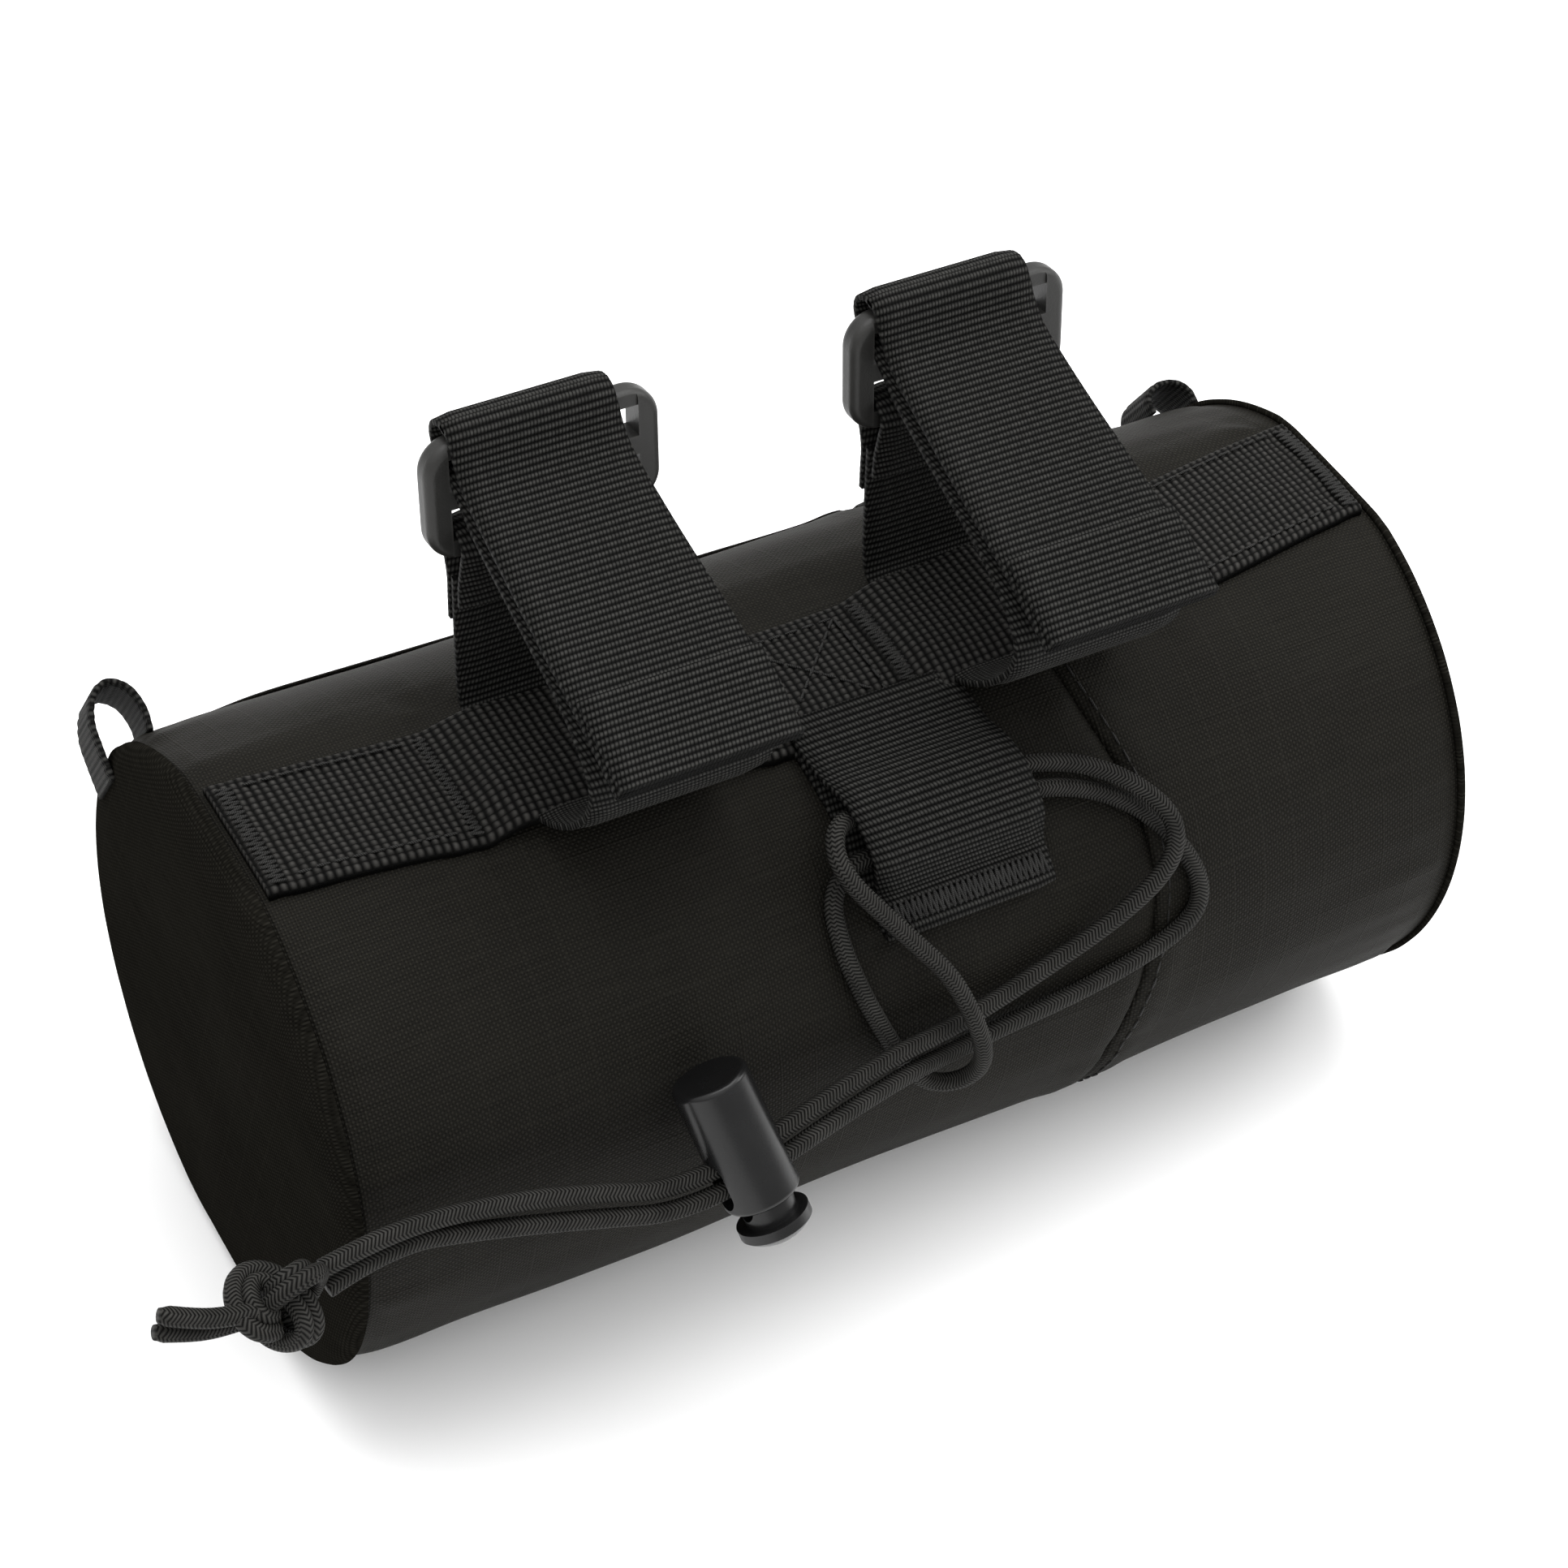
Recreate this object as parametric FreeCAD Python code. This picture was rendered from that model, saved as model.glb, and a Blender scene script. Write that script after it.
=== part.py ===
import FreeCAD, Part
import math
import os
from FreeCAD import Vector

# A small soft handlebar bag: a padded cylinder with a zip along its upper back, a webbing strip
# along its top, two hook-and-loop straps with tri-glides, and a shock-cord loop with a cord lock.
# Row frame, in mm: +X along the bag, +Z up, -Y is the front with the cord; the origin is the
# centre of the flattened underside that the bag rests on.

# Bag body
BODY_R = 42.5            # outer radius of the fabric tube
FLAT = 41.0              # distance from the bag's axis to its flattened top and underside
AXIS_Z = FLAT            # height of the bag's axis above the floor
HALF_L = 83.0            # from the middle of the bag to each end seam
SEAM_X = 29.4            # seam between the two body panels
FABRIC = 1.0
FOAM = 2.5
LINING = 0.5
GAP = 0.05               # clearance between pieces that touch
END_BULGE = 3.0          # how far an end panel domes out past its seam

# Zip, laid out as if it were on top of the bag and then turned onto the upper back
ZIP_ANGLE = 73.0
LOOP_ANGLE = 58.0
ZIP_HALF = 68.0          # half the length of the opening
MOUTH_HALF_W = 4.0       # half the width of the gap between the folded fabric edges
TAPE_W = 11.0
TAPE_T = 0.6
TEETH_PITCH = 2.0
SLIDER_X = -58.0

# Webbing
STRAP_W = 25.0
STRAP_T = 1.5
BASE_W = 20.0
BASE_Y = -4.0            # centre line of the base webbing
PATCH_T = 0.8            # hook tape and loop tape
STRAP_X = {"left": -35.0, "right": 24.5}
TAB_X = 3.6
TAIL_PIVOT = (10.5, 124.8)       # (y, z) of the line a tail peels up about

# Shock cord and its lock
CORD_D = 2.5
LOCK_POINT = Vector(-35.0, -51.4, 49.2)           # middle of the hole through the lock
LOCK_AXIS = Vector(0.2104, -0.5252, -0.8246)      # from the closed end to the button
CORD_RUN = Vector(0.9749, 0.1756, 0.1370)         # the way the cord passes through the lock
CORD_SPACING = 3.2
KNOT_POINT = Vector(-97.0, -47.6, 52.6)


# ---------------------------------------------------------------- helpers

def save(shape, node):
    shape.exportStep("parts/%s.step" % node)
    box = shape.BoundBox
    print("%-22s %9.1f mm3  x %.1f %.1f  y %.1f %.1f  z %.1f %.1f" % (
        node, shape.Volume, box.XMin, box.XMax, box.YMin, box.YMax, box.ZMin, box.ZMax))


def smooth(points):
    curve = Part.BSplineCurve()
    curve.interpolate(points)
    return curve


def beside(points, distance, width):
    """The points moved sideways by a distance, at right angles to the line and to its width."""
    across = Vector(width).normalize()
    normals = []
    for a, b in zip(points, points[1:]):
        normals.append((b - a).normalize().cross(across))
    moved = [points[0] + normals[0] * distance]
    for point, n1, n2 in zip(points[1:], normals, normals[1:]):
        moved.append(point + (n1 + n2) * (distance / (1 + n1.dot(n2))))
    moved.append(points[-1] + normals[-1] * distance)
    return moved


def ribbon(points, thickness, width):
    """A strip of webbing: its centre line through points, width is the vector across it."""
    near = beside(points, thickness / 2, width)
    far = beside(points, -thickness / 2, width)
    outline = near + far[::-1]
    face = Part.Face(Part.makePolygon(outline + outline[:1]))
    face.translate(width * -0.5)
    return face.extrude(width)


def in_yz(x, pairs):
    return [Vector(x, y, z) for y, z in pairs]


def polar(angle, radius):
    """A (y, z) pair on the bag's section, the angle counted from the top towards the front."""
    a = math.radians(angle)
    return (-radius * math.sin(a), AXIS_Z + radius * math.cos(a))


def section(inset):
    """The bag's cross-section at x = 0: a circle flattened at its top and underside."""
    radius, flat = BODY_R - inset, FLAT - inset
    half = math.sqrt(radius ** 2 - flat ** 2)
    top, low = AXIS_Z + flat, AXIS_Z - flat
    corners = in_yz(0, [(-half, top), (half, top), (half, low), (-half, low)])
    sides = in_yz(0, [(radius, AXIS_Z), (-radius, AXIS_Z)])
    edges = [
        Part.LineSegment(corners[0], corners[1]).toShape(),
        Part.Arc(corners[1], sides[0], corners[2]).toShape(),
        Part.LineSegment(corners[2], corners[3]).toShape(),
        Part.Arc(corners[3], sides[1], corners[0]).toShape(),
    ]
    return Part.Face(Part.Wire(edges))


def slab(inset, x0, x1):
    face = section(inset)
    face.translate(Vector(x0, 0, 0))
    return face.extrude(Vector(x1 - x0, 0, 0))


def sleeve(outer, inner, x0, x1):
    return slab(outer, x0, x1).cut(slab(inner, x0 - 1, x1 + 1))


def block(x0, x1, y0, y1, z0, z1):
    return Part.makeBox(x1 - x0, y1 - y0, z1 - z0, Vector(x0, y0, z0))


def onto_zip(shape, angle=ZIP_ANGLE):
    """Turn a shape laid out on top of the bag onto the line of the zip."""
    shape.rotate(Vector(0, 0, AXIS_Z), Vector(1, 0, 0), -angle)
    return shape


def mirrored(shape):
    return shape.mirror(Vector(0, 0, 0), Vector(1, 0, 0))


def tube(route, diameter):
    """A cord: straight runs joined by tangent arcs."""
    starts = [route[0]]
    edges = []
    radii = []
    for before, corner, after in zip(route, route[1:], route[2:]):
        a = (before - corner).normalize()
        b = (after - corner).normalize()
        turn = math.pi - a.getAngle(b)
        shorter = min((before - corner).Length, (after - corner).Length)
        radius = 0.45 * shorter / math.tan(turn / 2)
        reach = 0.45 * shorter
        middle = (a + b).normalize()
        depth = radius / math.cos(turn / 2) - radius
        p, m, q = corner + a * reach, corner + middle * depth, corner + b * reach
        edges.append(Part.LineSegment(starts[-1], p).toShape())
        edges.append(Part.Arc(p, m, q).toShape())
        starts.append(q)
        radii.append(radius)
    edges.append(Part.LineSegment(starts[-1], route[-1]).toShape())
    wire = Part.Wire(edges)
    profile = Part.Wire(Part.Circle(route[0], route[1] - route[0], diameter / 2).toShape())
    solid = wire.makePipeShell([profile], True, False)
    expected = math.pi * diameter ** 2 / 4 * wire.Length
    print("cord length %.1f mm, smallest radius %.1f mm, volume %.1f of %.1f mm3" % (
        wire.Length, min(radii), solid.Volume, expected))
    return solid


# ---------------------------------------------------------------- bag body

def zip_mouth(half_width, depth, half_length=ZIP_HALF):
    return onto_zip(block(-half_length, half_length, -half_width, half_width,
                          AXIS_Z + BODY_R - depth, AXIS_Z + BODY_R + 5))


def body_panels():
    tube_of_fabric = sleeve(0, FABRIC, -HALF_L, HALF_L).cut(zip_mouth(MOUTH_HALF_W, 6))
    left = tube_of_fabric.common(block(-HALF_L, SEAM_X, -60, 60, -5, 100))
    right = tube_of_fabric.common(block(SEAM_X, HALF_L, -60, 60, -5, 100))
    return left, right


def dome(radius, reach, x_rim):
    """The space inside a shallow dome on the +X end, its rim a circle at x_rim."""
    ball = (radius ** 2 + reach ** 2) / (2 * reach)
    sphere = Part.makeSphere(ball, Vector(x_rim + reach - ball, 0, AXIS_Z))
    return sphere.common(slab(BODY_R - radius, x_rim, x_rim + reach + 1))


def end_panel():
    outer = dome(BODY_R, END_BULGE, HALF_L)
    inner = dome(BODY_R - FABRIC, END_BULGE - FABRIC, HALF_L)
    return outer.cut(inner)


def end_foam():
    rim = slab(FABRIC + FOAM + LINING + 1, HALF_L - FOAM - 1, HALF_L - 1)
    return rim


def foam_tube():
    body = sleeve(FABRIC + GAP, FABRIC + FOAM, -HALF_L + 4, HALF_L - 4)
    return body.cut(zip_mouth(TAPE_W + 2.5, 12, ZIP_HALF + 6))


def lining():
    """A thin bag inside the foam, closed at both ends and open along the zip."""
    inset = FABRIC + FOAM + GAP
    end = HALF_L - 4
    shell = slab(inset, -end, end).cut(slab(inset + LINING, -end + LINING, end - LINING))
    return shell.cut(zip_mouth(MOUTH_HALF_W + 1, 12))


def seam_binding():
    """The bound seam allowance inside an end seam."""
    return sleeve(FABRIC + GAP, FABRIC + FOAM - 0.3, HALF_L - 3.8, HALF_L - 0.3)


# ---------------------------------------------------------------- zip

def zip_tape():
    """One tape, curved to lie under the fabric edge."""
    inner, outer = BODY_R - FABRIC - TAPE_T - 0.1, BODY_R - FABRIC - 0.1
    length = 2 * ZIP_HALF + 10
    ring = Part.makeCylinder(outer, length, Vector(-length / 2, 0, AXIS_Z), Vector(1, 0, 0))
    ring = ring.cut(Part.makeCylinder(inner, length, Vector(-length / 2, 0, AXIS_Z), Vector(1, 0, 0)))
    return ring.common(block(-100, 100, 0.5, 0.5 + TAPE_W, AXIS_Z + 20, AXIS_Z + 50))


def zip_teeth():
    """One row of teeth: a spine with a tooth every pitch, facing the other row."""
    z0 = AXIS_Z + BODY_R - FABRIC - 0.05
    inner, root, outer = 0.5, 1.6, 2.6
    outline = [Vector(-ZIP_HALF + 2, outer, z0), Vector(-ZIP_HALF + 2, root, z0)]
    count = int((2 * ZIP_HALF - 6) / TEETH_PITCH)
    for i in range(count):
        x = -ZIP_HALF + 3 + i * TEETH_PITCH
        outline += [Vector(x, root, z0), Vector(x + 0.2, inner, z0),
                    Vector(x + 0.9, inner, z0), Vector(x + 1.1, root, z0)]
    outline += [Vector(ZIP_HALF - 2, root, z0), Vector(ZIP_HALF - 2, outer, z0)]
    face = Part.Face(Part.makePolygon(outline + [outline[0]]))
    return face.extrude(Vector(0, 0, 1.2))


def zip_stops():
    """The two end stops, clamped across both rows."""
    z0 = AXIS_Z + BODY_R - FABRIC - 0.05
    low = block(-ZIP_HALF + 0.2, -ZIP_HALF + 1.9, -2.6, 2.6, z0, z0 + 1.4)
    high = block(ZIP_HALF - 1.9, ZIP_HALF - 0.2, -2.6, 2.6, z0, z0 + 1.4)
    return Part.makeCompound([onto_zip(low), onto_zip(high)])


PULL_Z = AXIS_Z + BODY_R + 2.9


def zip_slider():
    x = SLIDER_X
    top = AXIS_Z + BODY_R + 0.4
    body = block(x - 4.5, x + 4.5, -3.8, 3.8, AXIS_Z + 39.4, top + 1.0)
    teeth_room = block(x - 6, x + 6, -2.9, 2.9, AXIS_Z + 41.15, top)
    tape_room = block(x - 6, x + 6, -6, 6, AXIS_Z + 40.2, AXIS_Z + 41.5)
    divider = block(x - 3.5, x - 0.5, -0.3, 0.3, AXIS_Z + 40.0, top + 0.2)
    body = body.cut(teeth_room).cut(tape_room).fuse(divider)
    lugs = block(x - 1.6, x + 1.6, -2.6, 2.6, top + 0.9, PULL_Z + 1.2)
    lugs = lugs.cut(block(x - 3, x + 3, -1.5, 1.5, top + 1.0, PULL_Z + 3))
    pin = Part.makeCylinder(0.6, 4.0, Vector(x, -2.0, PULL_Z), Vector(0, 1, 0))
    return onto_zip(body.fuse(lugs).fuse(pin).removeSplitter())


def zip_pull():
    x = SLIDER_X
    eye = Part.makeCylinder(1.25, 2.6, Vector(x, -1.3, PULL_Z), Vector(0, 1, 0))
    neck = block(x + 0.5, x + 5.0, -1.3, 1.3, PULL_Z - 0.6, PULL_Z + 0.6)
    blade = block(x + 4.0, x + 20.0, -2.5, 2.5, PULL_Z - 0.6, PULL_Z + 0.6)
    hole = Part.makeCylinder(1.4, 4, Vector(x + 17.0, 0, PULL_Z - 2), Vector(0, 0, 1))
    bore = Part.makeCylinder(0.66, 4, Vector(x, -2, PULL_Z), Vector(0, 1, 0))
    return onto_zip(eye.fuse(neck).fuse(blade).removeSplitter().cut(hole).cut(bore))


# ---------------------------------------------------------------- webbing

def end_loop():
    """A folded tape sewn into an end seam beside the zip, standing up from the corner."""
    points = [Vector(HALF_L - 5.5, 0, AXIS_Z + BODY_R + 0.7), Vector(HALF_L - 5.0, 0, AXIS_Z + BODY_R + 6.0),
              Vector(HALF_L - 1.5, 0, AXIS_Z + BODY_R + 9.2), Vector(HALF_L + 2.5, 0, AXIS_Z + BODY_R + 7.0),
              Vector(HALF_L + 3.4, 0, AXIS_Z + BODY_R + 1.0), Vector(HALF_L + 3.0, 0, AXIS_Z + BODY_R - 4.5)]
    return onto_zip(ribbon(points, 1.0, Vector(0, 10, 0)), LOOP_ANGLE)


def base_webbing():
    """The strip along the top, raised over each strap."""
    low = AXIS_Z + FLAT + GAP + STRAP_T / 2
    high = low + STRAP_T + 0.2
    end = HALF_L - 0.8
    points = [Vector(-end, BASE_Y, low), Vector(-70, BASE_Y, low), Vector(-59, BASE_Y, low)]
    for side in ("left", "right"):
        x = STRAP_X[side]
        points += [Vector(x - 18, BASE_Y, low), Vector(x - 13.5, BASE_Y, high), Vector(x, BASE_Y, high + 0.3),
                   Vector(x + 13.5, BASE_Y, high), Vector(x + 18, BASE_Y, low)]
        if side == "left":
            points += [Vector(-5, BASE_Y, low)]
    points += [Vector(55, BASE_Y, low), Vector(70, BASE_Y, low), Vector(end, BASE_Y, low)]
    return ribbon(points, STRAP_T, Vector(0, BASE_W, 0))


def base_bartacks():
    """Dense bars of thread that hold the base webbing down, and the box stitch at its middle."""
    top = AXIS_Z + FLAT + GAP + STRAP_T
    y0, y1 = BASE_Y - 9, BASE_Y + 9
    bars = [block(x - 1.2, x + 1.2, y0, y1, top + 0.02, top + 0.5) for x in (-80, -55.2, -14.3, 4.6, 44.8, 80)]
    frame = block(-12, 2.4, y0 + 1, y1 - 1, top + 0.02, top + 0.3)
    frame = frame.cut(block(-11, 1.4, y0 + 2, y1 - 2, top - 1, top + 1))
    return Part.makeCompound(bars + [frame])


def strap_points(side):
    return in_yz(STRAP_X[side], [
        (9.3, 102.6), (8.3, 92.0), (7.5, 85.0), (6.3, 82.8), (-14.2, 82.8), (-18.5, 85.2), (-23.5, 89.5),
        (-27.3, 94.6), (-27.9, 99.6), (-23.6, 104.2), (-17.9, 107.2), (-7.2, 110.85), (3.8, 114.9),
        (6.6, 116.6), (10.6, 119.0), (14.2, 119.9), (15.5, 122.3), (14.5, 124.4), (12.4, 125.2)])


def tail_points(side):
    return in_yz(STRAP_X[side], [
        TAIL_PIVOT, (8.9, 122.2), (6.9, 119.9), (2.8, 118.2), (-8.4, 114.0), (-19.0, 110.4),
        (-27.0, 107.4), (-34.0, 104.6)])


def strap(side):
    """Sewn round the tri-glide's lower bar, down, under the base webbing, up the front, through the
    tri-glide and round its top bar."""
    width = Vector(STRAP_W, 0, 0)
    return ribbon(strap_points(side), STRAP_T, width).fuse(strap_eye(side)).removeSplitter()


def strap_eye(side):
    """The sewn eye that holds the tri-glide's lower bar."""
    x = STRAP_X[side] - STRAP_W / 2
    y, z = bar_centre(-7.4)
    ring = Part.makeCylinder(3.9, STRAP_W, Vector(x, y, z), Vector(1, 0, 0))
    bore = Part.makeCylinder(2.4, STRAP_W, Vector(x, y, z), Vector(1, 0, 0))
    seam = block(x, x + STRAP_W, 7.8, 10.8, 101.0, 106.0)
    return ring.fuse(seam).cut(bore)


def strap_tail(side):
    """The free end of the strap, hemmed, hinged where it comes over the tri-glide."""
    width = Vector(STRAP_W, 0, 0)
    tail = ribbon(tail_points(side), STRAP_T, width)
    under = beside(tail_points(side)[-2:], -1.45, width)
    return tail.fuse(ribbon(under, STRAP_T, width)).removeSplitter()


def loop_patch(side):
    """Loop tape sewn on the outside of the front run."""
    width = Vector(STRAP_W - 1, 0, 0)
    on_strap = strap_points(side)[10:13]
    return ribbon(beside(on_strap, -STRAP_T / 2 - PATCH_T / 2 - GAP, width), PATCH_T, width)


def hook_patch(side):
    """Hook tape sewn under the tail."""
    width = Vector(STRAP_W - 1, 0, 0)
    on_tail = tail_points(side)[3:6]
    return ribbon(beside(on_tail, -STRAP_T / 2 - PATCH_T / 2 - GAP, width), PATCH_T, width)


# ---------------------------------------------------------------- tri-glides

GLIDE_CENTRE = (11.0, 115.6)
GLIDE_TILT = 9.0


def bar_centre(along):
    """The (y, z) of a point on the tri-glide's centre plane, this far up from its middle."""
    a = math.radians(GLIDE_TILT)
    return (GLIDE_CENTRE[0] + along * math.sin(a), GLIDE_CENTRE[1] + along * math.cos(a))


def triglide(side):
    """A rounded frame with two slots and three bars."""
    x = STRAP_X[side]
    outer_w, depth = 32.0, 3.6
    frame = block(x - outer_w / 2, x + outer_w / 2, -depth / 2, depth / 2, -8.8, 7.8)
    frame = frame.makeFillet(4.4, [e for e in frame.Edges if abs(e.BoundBox.YLength - depth) < 0.01])
    frame = frame.makeFillet(1.2, [e for e in frame.Edges if e.BoundBox.YLength < 0.01])
    lower = block(x - 12.9, x + 12.9, -5, 5, -6.0, -1.3)
    upper = block(x - 12.9, x + 12.9, -5, 5, 1.3, 5.6)
    thin_low = block(x - 12.9, x + 12.9, 1.5, 5, -10, -5.5)
    thin_low_front = block(x - 12.9, x + 12.9, -5, -1.5, -10, -5.5)
    thin_top = block(x - 12.9, x + 12.9, 1.5, 5, 5.2, 9)
    thin_top_front = block(x - 12.9, x + 12.9, -5, -1.5, 5.2, 9)
    for cutter in (lower, upper, thin_low, thin_low_front, thin_top, thin_top_front):
        frame = frame.cut(cutter)
    frame.rotate(Vector(0, 0, 0), Vector(1, 0, 0), -GLIDE_TILT)
    frame.translate(Vector(0, GLIDE_CENTRE[0], GLIDE_CENTRE[1]))
    return frame


# ---------------------------------------------------------------- cord tab

def cord_tab():
    """A folded webbing tab hanging from the base webbing; its two layers make the cord's channel."""
    width = Vector(STRAP_W, 0, 0)
    inner = [polar(a, BODY_R + 0.85) for a in (20.5, 26, 32, 38, 44, 50, 56)]
    outer = [polar(a, BODY_R + r) for a, r in
             ((20.5, 2.45), (26, 2.9), (31, 4.9), (34.5, 7.1), (43.5, 7.1), (46.5, 5.2), (49, 2.8), (56, 2.4))]
    tab = ribbon(in_yz(TAB_X, inner), STRAP_T, width)
    tab = tab.fuse(ribbon(in_yz(TAB_X, outer), STRAP_T, width))
    fold = ribbon(in_yz(TAB_X, [polar(55.8, BODY_R + 0.1), polar(55.8, BODY_R + 3.15)]), STRAP_T, width)
    strap_corner = block(STRAP_X["right"] - STRAP_W / 2 - 0.3, 30, -18.5, 0, 80, 90)
    return tab.fuse(fold).removeSplitter().cut(strap_corner)


def tab_bartack():
    points = in_yz(TAB_X + 1.5, [polar(a, BODY_R + 3.45) for a in (52.5, 53.5, 54.5)])
    return ribbon(points, 0.35, Vector(STRAP_W - 5, 0, 0))


# ---------------------------------------------------------------- shock cord

def cord_route():
    """One doubled cord: knot, lock, out round the right, through the tab, round the bight and back."""
    side = LOCK_AXIS * (CORD_SPACING / 2)
    run_start, run_end = LOCK_POINT - CORD_RUN * 8, LOCK_POINT + CORD_RUN * 21
    upper = [
        Vector(-91.0, -46.1, 54.0), Vector(-82.0, -45.7, 55.6), Vector(-70.5, -46.3, 54.6),
        Vector(-57.5, -48.5, 52.8), run_start - side, run_end - side,
        Vector(-1.5, -44.6, 51.9), Vector(7.0, -43.1, 52.2), Vector(14.3, -42.5, 54.2),
        Vector(20.6, -42.1, 56.2), Vector(26.3, -41.9, 59.0), Vector(30.7, -41.7, 62.4),
        Vector(33.4, -41.0, 66.0), Vector(34.0, -38.8, 69.5), Vector(32.0, -35.6, 72.1),
        Vector(28.2, -32.3, 74.6), Vector(22.6, -29.4, 76.6), Vector(15.6, -27.7, 77.6)]
    bight = [
        Vector(7.6, -27.5, 78.1), Vector(-0.5, -27.0, 78.4), Vector(-7.2, -27.4, 78.3),
        Vector(-12.2, -28.6, 79.3), Vector(-14.2, -31.7, 78.1), Vector(-13.4, -34.6, 75.2),
        Vector(-10.2, -37.3, 71.1), Vector(-5.9, -40.5, 65.8), Vector(-2.4, -43.6, 61.6),
        Vector(-0.5, -46.4, 57.0), Vector(1.1, -48.3, 51.6), Vector(1.6, -48.3, 46.8),
        Vector(-0.1, -46.7, 42.9), Vector(-3.6, -45.0, 42.3), Vector(-6.8, -44.1, 45.6),
        Vector(-10.4, -42.7, 52.8), Vector(-13.4, -39.9, 60.3), Vector(-14.9, -36.4, 66.4),
        Vector(-14.7, -32.9, 70.9), Vector(-11.6, -31.3, 74.0), Vector(-6.6, -31.6, 74.7),
        Vector(0.8, -31.2, 74.9)]
    lower = [
        Vector(9.4, -30.6, 75.4), Vector(17.2, -30.3, 75.0), Vector(24.4, -31.5, 72.9),
        Vector(30.4, -33.8, 69.6), Vector(34.4, -36.5, 65.9), Vector(37.2, -39.1, 61.8),
        Vector(38.8, -41.1, 57.6), Vector(37.9, -42.4, 53.8), Vector(33.9, -43.0, 51.2),
        Vector(26.8, -43.5, 49.3), Vector(18.0, -43.8, 47.9), Vector(9.0, -43.9, 47.2),
        Vector(0.6, -44.5, 46.9), run_end + side, run_start + side,
        Vector(-58.0, -49.9, 49.4), Vector(-70.8, -47.2, 51.4), Vector(-81.5, -45.2, 52.3),
        Vector(-90.6, -46.7, 50.6)]
    return upper + bight + lower


def shock_cord():
    return tube(cord_route(), CORD_D)


def cord_knot():
    """The tight overhand knot near the cord's cut ends, and the two ends themselves."""
    unit = 1.72
    points = []
    for i in range(21):
        t = 2 * math.pi * 0.97 * i / 20
        points.append(Vector(unit * (math.sin(t) + 2 * math.sin(2 * t)),
                             unit * (math.cos(t) - 2 * math.cos(2 * t)),
                             -1.3 * unit * math.sin(3 * t)))
    curve = smooth(points)
    start = curve.tangent(curve.FirstParameter)[0]
    profile = Part.Wire(Part.Circle(points[0], start, CORD_D / 2).toShape())
    knot = Part.Wire(curve.toShape()).makePipeShell([profile], True, False)
    knot.rotate(Vector(0, 0, 0), Vector(1, 0, 0), 62)
    knot.translate(KNOT_POINT)
    ends = []
    for dy, dz in ((-1.0, 1.6), (0.6, -1.5)):
        root = KNOT_POINT + Vector(-3.5, dy, dz)
        ends.append(Part.makeCylinder(CORD_D / 2, 12.5, root, Vector(-0.94, 0.14, 0.30)))
    return knot.fuse(ends[0]).fuse(ends[1])


# ---------------------------------------------------------------- cord lock

def along_lock(distance):
    return LOCK_POINT + LOCK_AXIS * distance


def cord_slot(width, low, high):
    """A slot through the lock for both cords, from low to high along the lock's axis."""
    reach = 8.0
    across = LOCK_AXIS.cross(CORD_RUN).normalize()
    pieces = []
    for distance in (low + width / 2, high - width / 2):
        start = along_lock(distance) - CORD_RUN * reach
        pieces.append(Part.makeCylinder(width / 2, 2 * reach, start, CORD_RUN))
    corner = along_lock(low + width / 2) - CORD_RUN * reach - across * (width / 2)
    face = Part.Face(Part.makePolygon([
        corner, corner + across * width, corner + across * width + LOCK_AXIS * (high - low - width),
        corner + LOCK_AXIS * (high - low - width), corner]))
    pieces.append(face.extrude(CORD_RUN * (2 * reach)))
    return pieces[0].fuse(pieces[1]).fuse(pieces[2]).removeSplitter()


def lock_barrel():
    body = Part.makeCylinder(5.1, 18.0, along_lock(-13.5), LOCK_AXIS)
    body = body.makeFillet(0.7, [e for e in body.Edges if e.Closed])
    bore = Part.makeCylinder(3.6, 17.0, along_lock(-11.5), LOCK_AXIS)
    return body.cut(bore).cut(cord_slot(3.7, -3.5, 3.5))


def lock_plunger():
    shaft = Part.makeCylinder(3.54, 12.8, along_lock(-5.2), LOCK_AXIS)
    shaft = shaft.cut(cord_slot(3.7, -3.4, 6.3))
    head = Part.makeCylinder(4.9, 1.0, along_lock(7.4), LOCK_AXIS)
    crown = Part.makeSphere(6.7, along_lock(4.2)).common(
        Part.makeCylinder(4.9, 4.2, along_lock(8.2), LOCK_AXIS))
    return shaft.fuse(head).fuse(crown).removeSplitter()


def lock_spring():
    """The return spring between the barrel's closed end and the plunger."""
    turns = 3.6
    places = []
    for i in range(round(12 * turns) + 1):
        angle = 2 * math.pi * i / 12
        places.append(Vector(2.4 * math.cos(angle), 2.4 * math.sin(angle), 1.5 * i / 12))
    centre = Part.BSplineCurve()
    centre.interpolate(places)
    profile = Part.Circle(places[0], centre.tangent(centre.FirstParameter)[0], 0.28)
    wire = Part.Wire([centre.toShape()])
    spring = wire.makePipeShell([Part.Wire([profile.toShape()])], True, True)
    turn = FreeCAD.Rotation(Vector(0, 0, 1), LOCK_AXIS)
    spring.Placement = FreeCAD.Placement(along_lock(-11.15), turn)
    return spring


# ---------------------------------------------------------------- write the parts

os.makedirs("parts", exist_ok=True)

panel_left, panel_right = body_panels()
save(panel_left, "body_panel_left")
save(panel_right, "body_panel_right")
save(end_panel(), "end_panel_right")
save(mirrored(end_panel()), "end_panel_left")
save(foam_tube(), "foam_tube")
save(end_foam(), "end_foam_right")
save(mirrored(end_foam()), "end_foam_left")
save(lining(), "lining")
save(seam_binding(), "seam_binding_right")
save(mirrored(seam_binding()), "seam_binding_left")

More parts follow.
